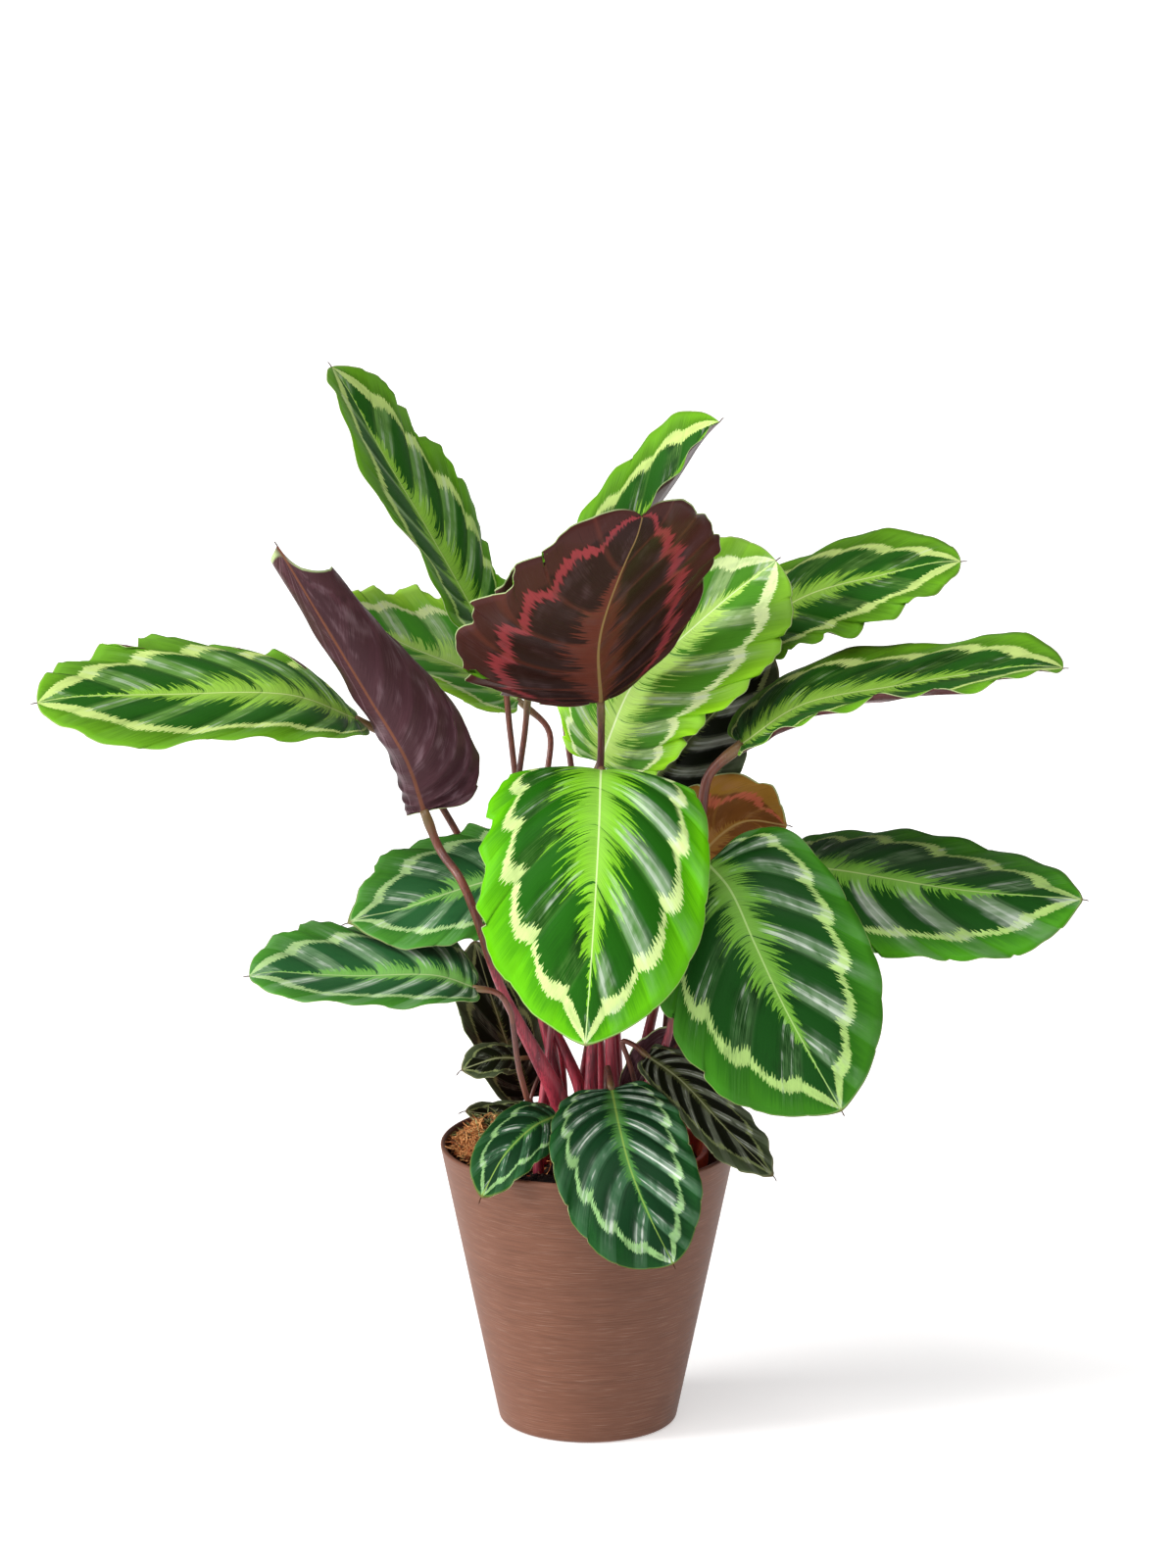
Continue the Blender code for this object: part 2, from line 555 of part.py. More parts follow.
def soil():
    """A plug that fills the nursery pot, rough on top, with a hole for each stalk."""
    random.seed(SOIL_SEED)
    edge = nursery_inside(SOIL_TOP) - GAP
    low = POT_FLOOR + GAP + NURSERY_WALL + GAP
    low_edge = nursery_inside(low) - GAP - PLUG_EASE
    verts = [(0, 0, SOIL_TOP + CROWN_HEIGHT)]
    for ring in range(1, SOIL_RINGS + 1):
        radius = edge * ring / SOIL_RINGS
        for k in range(SOIL_SIDES):
            angle = 2 * math.pi * (k + 0.5 * (ring % 2)) / SOIL_SIDES
            x, y = radius * math.cos(angle), radius * math.sin(angle)
            height = soil_height(x, y, random.uniform(-1, 1))
            if ring == SOIL_RINGS:
                height = min(height, NURSERY_TOP - SOIL_BELOW_RIM)
            verts.append((x, y, height))
    top_ring = 1 + (SOIL_RINGS - 1) * SOIL_SIDES
    for k in range(SOIL_SIDES):
        angle = 2 * math.pi * (k + 0.5 * (SOIL_RINGS % 2)) / SOIL_SIDES
        verts.append((low_edge * math.cos(angle), low_edge * math.sin(angle), low))
    low_ring = top_ring + SOIL_SIDES
    faces = []
    for k in range(SOIL_SIDES):
        n = (k + 1) % SOIL_SIDES
        faces.append((0, 1 + k, 1 + n))
        for ring in range(SOIL_RINGS - 1):
            a = 1 + ring * SOIL_SIDES
            b = a + SOIL_SIDES
            if ring % 2:
                faces += [(a + k, b + k, b + n), (a + k, b + n, a + n)]
            else:
                faces += [(a + k, b + k, a + n), (b + k, b + n, a + n)]
        faces.append((top_ring + k, low_ring + k, low_ring + n, top_ring + n))
    faces.append(tuple(low_ring + k for k in range(SOIL_SIDES - 1, -1, -1)))
    return add_object("soil", verts, faces, "soil")


def cut_holes(body, leaves):
    """Cuts one plain hole for each stalk, all with a single set of cutters."""
    verts = []
    faces = []
    for leaf in leaves:
        radius = leaf.sheath[0] * MM + GAP / math.cos(math.pi / STALK_SIDES)
        start = len(verts)
        for height in (HOLE_BOTTOM - GAP, HOLE_TOP):
            for k in range(STALK_SIDES):
                angle = 2 * math.pi * k / STALK_SIDES
                x = leaf.foot[0] * MM + radius * math.cos(angle)
                y = leaf.foot[1] * MM + radius * math.sin(angle)
                verts.append((x, y, height))
        for k in range(STALK_SIDES):
            a, b = start + k, start + (k + 1) % STALK_SIDES
            faces.append((a, b, b + STALK_SIDES, a + STALK_SIDES))
        faces.append(tuple(start + k for k in range(STALK_SIDES - 1, -1, -1)))
        faces.append(tuple(start + STALK_SIDES + k for k in range(STALK_SIDES)))
    cutter = add_object("hole_cutter", verts, faces, "soil")
    cutter.hide_render = True
    cutter.display_type = "WIRE"
    cut = body.modifiers.new("holes", "BOOLEAN")
    cut.operation = "DIFFERENCE"
    cut.solver = "EXACT"
    cut.object = cutter


def tree_of(verts, faces):
    return BVHTree.FromPolygons([Vector(v) for v in verts], faces)


def build():
    for thing in list(bpy.data.objects):
        bpy.data.objects.remove(thing)
    cover_pot()
    nursery_pot()
    cut_holes(soil(), LEAVES)
    ribs = {leaf.name: Midrib(leaf) for leaf in LEAVES}
    blades = {}
    for leaf in LEAVES:
        verts, faces = blade_mesh(leaf, ribs[leaf.name])
        add_object("blade_" + leaf.name, verts, faces, leaf.tone)
        blades[leaf.name] = tree_of(verts, faces)
    stalks = []
    for leaf in sorted(LEAVES, key=lambda one: -one.sheath[0] - 10 * len(one.vias)):
        bottom, line = route(leaf, ribs[leaf.name], blades, stalks)
        radii = stalk_radius(leaf, np.linspace(0, 1, len(line)))
        stalks += [(line, radii), (chords(line), radii)]
        verts, faces = stalk_mesh(leaf, bottom, line)
        add_object("stalk_" + leaf.name, verts, faces, "stalk")


build()
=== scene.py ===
"""The looks of the potted calathea: fine leaves, stalks, pot and soil over the CAD frame.

Each fine piece has its CAD node's form. A leaf is placed as in the part's source: each point of
its midrib is a column and a row of the photograph and a depth in millimetres, see at().
"""

import random
from collections import namedtuple
from functools import partialmethod
from math import cos, exp, hypot, inf, pi, radians, sin, sqrt, tau

import bmesh
import bpy
import numpy as np
from mathutils import Matrix, Vector, noise


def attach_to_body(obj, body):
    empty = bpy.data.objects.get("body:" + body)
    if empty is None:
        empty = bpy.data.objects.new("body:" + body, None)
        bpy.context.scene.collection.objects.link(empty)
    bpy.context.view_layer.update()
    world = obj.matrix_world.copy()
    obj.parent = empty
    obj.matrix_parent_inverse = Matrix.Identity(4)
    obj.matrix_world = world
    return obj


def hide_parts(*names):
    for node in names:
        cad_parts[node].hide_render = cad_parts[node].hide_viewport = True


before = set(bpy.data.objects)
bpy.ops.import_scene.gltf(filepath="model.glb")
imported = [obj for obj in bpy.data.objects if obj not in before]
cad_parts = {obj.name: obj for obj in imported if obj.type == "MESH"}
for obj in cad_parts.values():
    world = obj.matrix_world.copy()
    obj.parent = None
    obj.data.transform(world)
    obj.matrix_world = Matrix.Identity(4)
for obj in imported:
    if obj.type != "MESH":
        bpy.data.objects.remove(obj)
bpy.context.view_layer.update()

MM = 0.001
ANY_TURN = 6.28  # radians
THIRD_TURN = 2.0944

# The photograph's camera.
PHOTO_PIXEL = 0.789 * MM  # at the pot
EYE_DISTANCE = 7
EYE_ELEVATION = radians(14.7)
MIDDLE_COLUMN = 601
MIDDLE_ROW = 800
MIDDLE_HEIGHT = 0.5355
PHOTO_HEIGHT = 1600
SENSOR = 36
FOCAL = EYE_DISTANCE / PHOTO_PIXEL  # in photo pixels
EYE = (0, -EYE_DISTANCE * cos(EYE_ELEVATION),
       MIDDLE_HEIGHT + EYE_DISTANCE * sin(EYE_ELEVATION))

# The studio. A sun has a name, the way to it, its strength and its width in degrees.
SUNS = (("key", (-1, -0.25, 0.4), 3.3, 28), ("fill", (-0.7, -1, 0.4), 0.5, 90),
        ("top", (-0.15, -0.5, 1.1), 1.35, 40))
WORLD_LIGHT = 0.27
FLOOR_GLOW = 0.48
FLOOR_DROP = -0.2 * MM
FLOOR_HALF = 30

# The pots.
RIM_DIAMETER = 240 * MM
BASE_DIAMETER = 146 * MM
POT_HEIGHT = 235 * MM
POT_WALL = 4 * MM
POT_FLOOR = 6 * MM
FOOT_ROUND = 5 * MM
INNER_BEVEL = (4 * MM, 5 * MM)  # across and up, where the wall meets the floor inside
WALL_LEAN = 12  # degrees by which the wall leans out
FOOT_STEPS, WALL_STEPS, RIM_STEPS = 10, 24, 16
NURSERY_RIM_RADIUS = 98 * MM
NURSERY_BASE_RADIUS = 62 * MM
NURSERY_TOP = 231 * MM
NURSERY_WALL = 2 * MM
NURSERY_LIP = 2.5 * MM
NURSERY_LIP_DEPTH = 14 * MM
NURSERY_EDGE = 0.8 * MM
EDGE_STEPS = 5
GAP = 0.3 * MM
POT_SIDES = 192
POT_SHARP = radians(40)

# The soil. Clods and grit have their bumps in a metre and their height in mm.
SOIL_TOP = 216 * MM
MOUND_HEIGHT = 25 * MM
MOUND_PLACE = (-73 * MM, 12 * MM)
MOUND_SPREAD = 24 * MM
MOUND_ROUGHNESS = 2.2
ROUGH_SPREAD = 1.3 * MOUND_SPREAD
CROWN_HEIGHT = 4 * MM
CROWN_SPREAD = 50 * MM
CLODS = ((110, 2.0), (260, 1.6))
GRIT = (700, 0.7)
BELOW_RIM = 2 * MM  # how far the soil's edge stays under the nursery pot's rim
PLUG_EASE = 0.2 * MM
SOIL_SIDES, SOIL_RINGS = 220, 80
SOIL_SHARP = radians(60)

# Loose bits on the soil, strewn all over it or in a heap of tufts.
STREWN_RADIUS = 90 * MM
CLEAR_OF_WALL = 3 * MM
SPILL_RADIUS = 110 * MM
HEAP_TOP = (-84 * MM, 4 * MM)
HEAP_HEIGHT = 20 * MM
HEAP_SPREAD = 24 * MM
TUFTS = 130  # bumps in a metre
TUFT_HEIGHT = (0.55, 1.3, 0.1)  # mean, swing and least, as shares of the heap's
CHIP_TILT = 0.7
FIBRE_STEPS = 7
FIBRE_TAPER = 0.8
FIBRE_CURL = 0.42

# The blades' shape, as in the part's source.
BLADE_THICKNESS = 0.7 * MM
PLEAT_SHARE = 0.032
CUT = 0.13  # how far a cut margin is drawn in, as a share of the half width
PLAIN_CUT = 0.015
DENT = 0.01
LOBE_SHARE = 0.03
LOBE_PLACE = 0.08
BASE_SHARE = 0.07
WIDEST = 0.47
BASE_ROUND = 2.2
TIP_ROUND = (0.45, 2.8)
VEIN_START = 2.45
VEIN_BOW = (1.7, 1.0)
RIDGE_REACH = (0.85, 0.06)
WAVES_PER_VEIN = 0.37
WAVE_STEP = 0.31  # turns that a leaf's waves are shifted, for each letter of its name
LEFT_WAVE_LAG = 1.7
RUFFLE = (0.4, 0.6)  # of any margin, and more of a lobed one, in wave heights
RUFFLE_STEP = 0.13  # turns that the ruffles shift from leaf to leaf
LEAST_BEND = 0.02
MIDRIB_SAMPLES = 240
MIDDLE_NOTCH = (0.85, 0.15)  # its start and length, as shares of the midrib
SIDE_NOTCH = (0.7, 0.3)
TIP_BEND = (0.84, 0.16)
TAIL_WIDTH = 0.5 * MM  # half width of the dry tail at the tip
TAIL_LENGTH = 4.5 * MM
TAIL_TAPER = 9
TAIL_DROOP = 9
TIP_ROWS = (0.75, 0.5, 0.3, 0.15, 0.05)  # rows added before the tip, in rows from it
TIP_THICKNESS = 0.3  # as a share of the blade's
STAGGER = 0.2  # how far left and right side veins are out of step
EDGE_THINNING = 0.45
RIB_DEPTH = 1.7 * MM  # of the midrib under the blade's base
RIB_REACH = 1.5  # its half width there in mm
LEAST_RIB = (0.25 * MM, 0.7)  # its depth and its half width in mm at the tip
RIB_ABOVE = 0.15  # how far it shows on the upper side, as a share of its depth

# The stalks' shape. Shares are of the stalk's length or of its radius.
SHEATH_PAST = 0.12  # how far the sheath reaches past its stated end
SHEATH_FADE = 0.2
SHEATH_LAP = 0.1
SHEATH_TWIST = 1.5
SLIMMED = 0.97
FLUTE = 0.02
KNEE_PLACE = 0.975  # the swelling just below the blade
KNEE_SWELL = 0.22
KNEE_LENGTH = 0.02
STALK_TAIL = 2.2  # mm that the stalk reaches on under the blade

# The fine meshes.
ROWS_PER_VEIN = 18
HALF_COLUMNS = 17
CROWDING = 1.15  # of the columns towards the midrib
TAIL_ROWS = 6
STALK_SIDES = 20
STALK_ROWS = 90

# A leaf's midrib from the stalk's end to the tip, the way its upper side faces, and its left and
# right halves' widths in mm. fold, curl: degrees that a half is folded up at the midrib and bent
# on its way out, left and right, at the base and at the tip. roll: radii in mm in place of curl.
# wave: the margin's waves in mm. heel, blunt: how full the base and the tip are. sheath: how far
# up the stalk it goes. tone: the leaf's tone, which nothing here reads. upper, under: rows of
# UPPER and UNDER. silver: how strong the painted sheen is on each half. edges: above 0
# cut to points, below 0 rounded lobes, 0 plain.
# curled: mm that the tip is bent up. notch: shares of the length that the tip is drawn in at
# the midrib and in the left half. pleats: their depth, in times the usual.
FIELDS = ("name path face wide fold curl roll veins wave heel blunt sheath tone upper under"
          " silver edges curled notch pleats")
USUAL = ((0, 0), (0, 0), (), 7, 2.5, 0.75, 0.8, 0.4, "green", "fresh", "plum", (0.2, 0.2),
         (0.3, 0.3), 0, (0, 0), 1)
Leaf = namedtuple("Leaf", FIELDS, defaults=USUAL)

LEAVES = (
    Leaf("far_left", ((365, 734, 8), (300, 710, -8), (165, 709, -32), (39, 712, -48)),
         (0, -0.3, 0.95), (101, 106), fold=(14, -12, 0, 0), veins=8, wave=4, heel=1.15,
         blunt=0.55, sheath=0.35, silver=(0.55, 0.6), edges=(0.2, 1.9), curled=-5),
    Leaf("tall_left", ((494, 642, 84), (439, 544, 92), (385, 452, 106), (343, 372, 124)),
         (0.71, -0.34, 0.5), (103, 80), fold=(18, 4), veins=8, wave=4, heel=0.6, blunt=0.55,
         silver=(0.66, 0.62), edges=(0.2, 1.5), curled=-4),
    Leaf("rolled_left",
         ((434, 828, -42), (416, 776, -44), (374, 706, -52), (328, 630, -64), (284, 557, -78)),
         (0.15, 0.95, 0.25), (84, 83), roll=(53, 21, 9, 17), veins=9, wave=1.5, heel=0.7,
         blunt=1.1, sheath=0.55, tone="purple", under="violet", edges=(0.6, 0.3), notch=(0, 0.09),
         pleats=2.4),
    Leaf("back_left", ((530, 715, 138), (476, 684, 144), (404, 653, 154), (345, 612, 158)),
         (0.3, -0.4, 0.87), (85, 85), fold=(20, 0), upper="lit", silver=(0.6, 0.6),
         edges=(0.5, 1.6)),
    Leaf("big_brown", ((614, 717, 8), (612, 656, -30), (632, 590, -76), (664, 521, -106)),
         (-0.1, 0.78, 0.62), (116, 122), fold=(28, 6, 30, -27), curl=(8, 0), veins=8, wave=5,
         heel=1.1, blunt=0.6, sheath=0.45, tone="purple", under="brown", edges=(-0.6, 1),
         curled=20, notch=(0.06, 0), pleats=1.4),
    Leaf("top_right", ((588, 640, 142), (632, 570, 144), (690, 492, 147), (730, 428, 150)),
         (-0.8, -0.5, 0.3), (71, 66), fold=(0, 42), wave=3, blunt=0.4, silver=(0.2, 0.3),
         edges=(0.2, -1), curled=-6),
    Leaf("brown_back", ((540, 706, 28), (543, 655, 2), (550, 605, -24), (556, 568, -50)),
         (0, 0.97, 0.25), (56, 38), wave=3, tone="purple", edges=(0.6, 0.8)),
    Leaf("bright_right",
         ((613, 778, 52), (650, 694, 50), (698, 650, 56), (745, 609, 66), (793, 572, 76)),
         (-0.3, -0.85, 0.2), (62, 88), fold=(0, 28), veins=8, wave=4, blunt=0.45, tone="bright",
         upper="light", silver=(0.64, 0.6), edges=(0.8, -1.2)),
    Leaf("upper_right", ((755, 648, 122), (829, 606, 128), (905, 586, 125), (980, 568, 118)),
         (-0.2, -0.3, 0.93), (68, 77), wave=4, blunt=0.6, silver=(0.35, 0.35), edges=(0.3, -1.1),
         curled=-5),
    Leaf("right_rolled",
         ((757, 760, 2), (818, 720, 6), (915, 700, 0), (1015, 684, -12), (1084, 673, -20)),
         (-0.15, -0.18, 0.97), (76, 70), curl=(0, 30), veins=8, wave=4, blunt=0.45, sheath=0.3,
         edges=(0.1, -1.2), curled=-8),
    Leaf("shaded_right", ((650, 812, 82), (690, 770, 90), (740, 718, 100), (792, 672, 108)),
         (-0.35, -0.6, 0.7), (60, 60), upper="shade", silver=(1, 1), edges=(-0.5, -0.8)),
    Leaf("front_bright",
         ((615, 786, -38), (614, 790, -68), (612, 850, -112), (607, 940, -140), (598, 1068, -150)),
         (0, -0.8, 0.6), (90, 97), curl=(-16, -16), veins=8, wave=3, sheath=0.45, tone="bright",
         upper="bright", silver=(0.75, 0.25), edges=(-0.1, 0.5), curled=-3),
    Leaf("front_right",
         ((723, 881, -44), (746, 908, -68), (772, 965, -90), (805, 1035, -106), (860, 1134, -110)),
         (-0.1, -0.8, 0.55), (84, 90), veins=8, wave=3, upper="deep",
         silver=(0.7, 0.35), edges=(-0.1, -0.5)),
    Leaf("low_right", ((815, 882, 26), (870, 890, 20), (979, 908, 10), (1106, 918, 0)),
         (0.05, -0.5, 0.86), (86, 86), fold=(-18, 0), wave=4, blunt=0.75, upper="mid",
         silver=(0.4, 0.9), edges=(0.1, -0.6)),
    Leaf("amber_back", ((705, 900, 36), (722, 866, 32), (760, 838, 28), (804, 842, 24)),
         (0.1, 0.95, 0.3), (50, 50), tone="purple", under="amber", edges=(-0.8, -0.8)),
    Leaf("mid_left", ((548, 885, -18), (469, 908, -21), (406, 929, -32), (356, 938, -44)),
         (-0.15, -0.6, 0.78), (58, 64), fold=(5, 0), wave=3, blunt=1, upper="soft",
         silver=(0.5, 0.4), edges=(0.3, 1.1), curled=-5),
    Leaf("low_left", ((485, 1008, -82), (447, 996, -86), (356, 996, -94), (256, 990, -102)),
         (0, -0.35, 0.93), (70, 74), fold=(15, 0), wave=3, heel=1.1, blunt=0.5, sheath=0.3,
         tone="dark", upper="soft", silver=(0.7, 0.6), edges=(0.2, 1.3), curled=-6),
    Leaf("small_dark", ((531, 1080, 15), (508, 1080, 8), (488, 1086, 2), (472, 1092, -2)),
         (0, -0.6, 0.8), (18, 18), veins=5, wave=1.5, sheath=0.3, tone="dark", upper="shade",
         edges=(0.6, 0.6)),
    Leaf("rim_left", ((570, 1138, -57), (545, 1150, -78), (515, 1180, -102), (492, 1222, -120)),
         (-0.15, -0.75, 0.65), (26, 27), veins=6, wave=2, sheath=0.3, tone="dark", upper="dark",
         silver=(0.45, 0.5), edges=(-0.6, -0.4)),
    Leaf("front_low", ((625, 1111, -58), (633, 1150, -95), (645, 1195, -122),
                       (664, 1242, -138), (688, 1290, -140)),
         (0, -0.85, 0.5), (52, 60), veins=9, wave=3, blunt=0.65, sheath=0.3, upper="dark",
         silver=(0.72, 0.66), edges=(-0.2, -0.3)),
    Leaf("right_low", ((662, 1078, -32), (695, 1102, -40), (740, 1150, -48), (790, 1200, -58)),
         (0.35, -0.5, 0.75), (32, 32), veins=8, wave=2, sheath=0.3, tone="dark", upper="shade",
         silver=(0.6, 0.6), edges=(-0.7, -0.7)),
    Leaf("purple_low", ((658, 1148, 12), (666, 1118, 14), (682, 1082, 14), (705, 1045, 10)),
         (0, 0.97, 0.2), (28, 30), veins=6, sheath=0.3, tone="purple", upper="dark",
         under="violet"),
    Leaf("soil_leaf", ((548, 1139, 25), (525, 1136, 22), (500, 1137, 18), (476, 1134, 12)),
         (0, -0.5, 0.85), (15, 15), veins=5, wave=1, sheath=0.3, tone="dark", upper="shade",
         edges=(0.6, 0.6)),
    Leaf("shade_left", ((540, 1120, 50), (522, 1075, 62), (503, 1020, 85), (485, 960, 110)),
         (0.5, -0.6, 0.5), (38, 38), veins=6, tone="dark", upper="shade", silver=(0.3, 0.3)),
    Leaf("rear_high", ((650, 752, 140), (660, 700, 175), (672, 660, 215), (684, 640, 262)),
         (0, -0.3, 0.95), (72, 72), wave=4, silver=(0.3, 0.3)),
    Leaf("rear_middle", ((604, 880, 108), (598, 850, 143), (590, 870, 203), (580, 940, 250)),
         (0, 0.3, 0.95), (72, 72), wave=4, upper="deep", silver=(0.3, 0.3)),
    Leaf("rear_right", ((690, 930, 85), (720, 900, 120), (760, 915, 170), (785, 965, 210)),
         (0.2, 0.1, 0.97), (66, 64), wave=3, upper="deep", silver=(0.3, 0.3)),
)

# The sides' looks: colours, among them the painted sheen's, and for the upper side the
# feather's and the band's width, the depth of the band's scallops, the strength of the painted
# highlight streaks and how far the margin dulls.
Upper = namedtuple("Upper", "margin inner ground deep pale lime rib silver feather band scallop"
                   " streaks dulls", defaults=(0,))
UPPER = {
    "bright": ("60b804 3d8c04 1d5c08 0a3002 d6ee98 84cc28 d2eaa2 5e9840", 1.05, 1, 1, 0.5),
    "light": ("9adc24 70b014 4c8a22 24560c e4f4b0 bee46c e4f4bc bcdc90", 1.2, 1.2, 0.7, 0.6, 0.6),
    # lit: the fresh colours painted lighter, as painted light on a leaf that the others shade.
    "lit": ("a4dc40 78b826 4c9a28 206012 e4f4ac b8e46c e4f4b8 b4d890", 1, 1.3, 0.6, 0.5),
    "fresh": ("68a41e 4a7a12 225c10 0a3404 cce484 98cc44 d4e698 7cb050", 0.85, 1.5, 0.5, 0.4),
    "deep": ("387a16 245e10 154812 052404 b4d87c 74b03a acd07c 5c8c50", 0.74, 1.1, 0.8, 0.75),
    "mid": ("489418 307216 1a4e14 083006 b8dc7c 7ec040 c0dc88 84a878", 0.74, 1.1, 0.7, 0.6),
    "soft": ("46882c 347026 285c30 134020 b0d48c 78b850 b4d08c 88b080", 0.7, 1.2, 0.6, 0.7),
    "dark": ("17481c 0e3416 0f3619 041a08 98c67e 4a8438 86a84c 4e8058", 0.46, 0.9, 0.9, 1),
    # shade: a dull grey-green, darkened as painted shade for leaves that lie in shadow.
    "shade": ("505e40 3c482c 151b0a 050702 98a86c 64703e b0ba88 98a488", 0.5, 0.8, 0.8, 0.9),
}
# An underside's last colour, gloss, is that of its painted sheen.
Under = namedtuple("Under", "margin ground band feather rib gloss")
UNDER = {
    "brown": "4c2622 301815 a03c42 763a2e 9a7c4e 584042",
    "plum": "54302f 40262b 8a3c42 663630 8c6c4c 5c4448",
    "violet": "54343a 4a2d33 5a3840 54363c 7c4c38 8c7078",
    "amber": "a87a2c 7a4a1c cc6a4c a87a34 bc9a5c a8784c",
}
# White of the painted highlights.
HIGHLIGHT_WHITE = "dfe8dc"
DULL_MARGIN = "5c8430"
LIT_EDGE = "bcd092"  # of an underside
DRY_EDGE = "6b4a2c"
DRY_TIP = "4a2e1c"
UNDER_SHADOW = "1c1010"
# Painted shade in an underside's creases.
UNDER_CREASE_SHADE = "241418"
BARB_BEND = 3.2


def rgb(code):
    """Linear red, green and blue from a colour written as six hexadecimal digits."""
    values = [int(code[k:k + 2], 16) / 255 for k in (0, 2, 4)]
    return tuple(v / 12.92 if v < 0.04045 else ((v + 0.055) / 1.055) ** 2.4 for v in values)


# Shading: numbers worked out by nodes.


def feed(tree, slot, value):
    """Link a Num or another node's output to a slot, or set a number or a colour's code."""
    if isinstance(value, Num):
        value = value.socket
    if isinstance(value, bpy.types.NodeSocket):
        tree.links.new(value, slot)
    elif isinstance(value, str):
        slot.default_value = (*rgb(value), 1)
    else:
        slot.default_value = value


def add_node(tree, kind, inputs=(), **settings):
    """A new node with its settings, its inputs fed with (slot, value) pairs."""
    node = tree.nodes.new("ShaderNode" + kind)
    for key, value in settings.items():
        setattr(node, key, value)
    for key, value in inputs:
        feed(tree, node.inputs[key], value)
    return node


class Num:
    """A number that shader nodes work out. Arithmetic on it adds the nodes."""

    def __init__(self, tree, socket):
        self.tree = tree
        self.socket = socket

    def math(self, operation, *others):
        node = add_node(self.tree, "Math", enumerate((self,) + others), operation=operation)
        return Num(self.tree, node.outputs[0])

    __add__ = __radd__ = partialmethod(math, "ADD")
    __sub__ = partialmethod(math, "SUBTRACT")
    __mul__ = partialmethod(math, "MULTIPLY")
    __truediv__ = partialmethod(math, "DIVIDE")
    __pow__ = partialmethod(math, "POWER")
    __abs__ = partialmethod(math, "ABSOLUTE")

    def __rsub__(self, other):
        return self * -1 + other

    def rise(self, low, high):
        """0 below low, 1 above high and smooth between, or the other way if low is higher."""
        node = add_node(self.tree, "MapRange", (("Value", self), ("From Min", low),
                                                ("From Max", high)),
                        interpolation_type="SMOOTHSTEP")
        return Num(self.tree, node.outputs["Result"])


class Paint:
    """A Principled material under construction."""

    def __init__(self, name, level, **sockets):
        self.material = bpy.data.materials.new(name)
        self.material.use_nodes = True
        self.tree = self.material.node_tree
        self.shader = self.tree.nodes["Principled BSDF"]
        self.shader.inputs["Specular IOR Level"].default_value = level
        for key, value in sockets.items():
            self.shader.inputs[key.replace("_", " ")].default_value = value

    def parts(self, socket):
        node = add_node(self.tree, "SeparateXYZ", [(0, socket)])
        return [Num(self.tree, out) for out in node.outputs]

    def attribute(self, name):
        node = add_node(self.tree, "Attribute", attribute_name=name)
        return self.parts(node.outputs["Vector"])

    def noise(self, x, y, z=0, detail=2, rough=0.5):
        """Noise from about -0.3 to 0.3, with one bump for each whole number."""
        join = add_node(self.tree, "CombineXYZ", enumerate((x, y, z)))
        node = add_node(self.tree, "TexNoise", (("Vector", join.outputs[0]), ("Scale", 1),
                                                ("Detail", detail), ("Roughness", rough)))
        return Num(self.tree, node.outputs[0]) - 0.5

    def over_object(self, level, upright, detail=2, rough=0.5):
        """Noise with so many bumps in a metre of the object, across and upright."""
        x, y, z = self.parts(add_node(self.tree, "TexCoord").outputs["Object"])
        return self.noise(x * level, y * level, z * upright, detail, rough)

    def mix(self, share, first, second):
        """A colour that goes from the first to the second; colours are codes or sockets."""
        slots = ((0, share), (6, first), (7, second))
        return add_node(self.tree, "Mix", slots, data_type="RGBA").outputs[2]

    def layer(self, share, colour):
        """Lay a colour over what is painted so far."""
        self.colour = self.mix(share, self.colour, colour)

    def bump(self, height, distance):
        node = add_node(self.tree, "Bump", (("Distance", distance), ("Height", height)))
        feed(self.tree, self.shader.inputs["Normal"], node.outputs[0])

    def finish(self, roughness=None):
        feed(self.tree, self.shader.inputs["Base Color"], self.colour)
        if roughness is not None:
            feed(self.tree, self.shader.inputs["Roughness"], roughness)
        return self.material


class LeafPaint(Paint):
    """A leaf's material, with the places on it that its pattern is drawn from: the side veins
    passed so far, the side from -1 on the left to 1, the share along, the mm from the midrib
    and from the margin, and how strong the painted sheen is on that half."""

    def __init__(self, name, look, level):
        super().__init__(name, level)
        self.look = look
        self.vein, self.side, self.along = self.attribute("leaf_place")
        self.off, self.rim, self.sheen_strength = self.attribute("leaf_near")
        self.reach = abs(self.side)
        self.phase = self.vein.math("FRACT")

    def grained(self, fine, long, layer=0):
        """Noise drawn out along the side veins."""
        return self.noise(self.vein * fine, self.side * long, layer)

    def barbs(self, count, bend):
        """Pointed teeth, 0 to 1, that run along the side veins with uneven room between."""
        return (self.vein * count + bend * BARB_BEND).math("PINGPONG", 0.5) * 2


def dark_ground(k):
    """The dark ground, with painted shade and painted highlights: each pleat is painted dark on
    one flank and light on the other.
    """
    # Darker towards the side veins: partly the leaf's own deep green, partly painted shade on the
    # pleats' shaded flanks.
    deep_and_shaded = abs(k.phase - 0.3).rise(0.08, 0.45) * 0.5 + k.cloud * 1.3 + k.hair * 0.9
    k.colour = k.mix(deep_and_shaded.rise(0, 0.8), k.look.ground, k.look.deep)
    # Painted highlight on each pleat's lit flank, in the painted sheen's colour.
    flank = (k.phase + k.tooth * 0.25).rise(0.5, 0.68) * (k.phase - k.hair * 0.05).rise(0.985, 0.95)
    k.flank = flank * (k.patch * 0.7 + k.hair * 1.3 + k.sheen_strength).rise(0.05, 0.75)
    k.layer(k.flank * 0.6, k.look.silver)


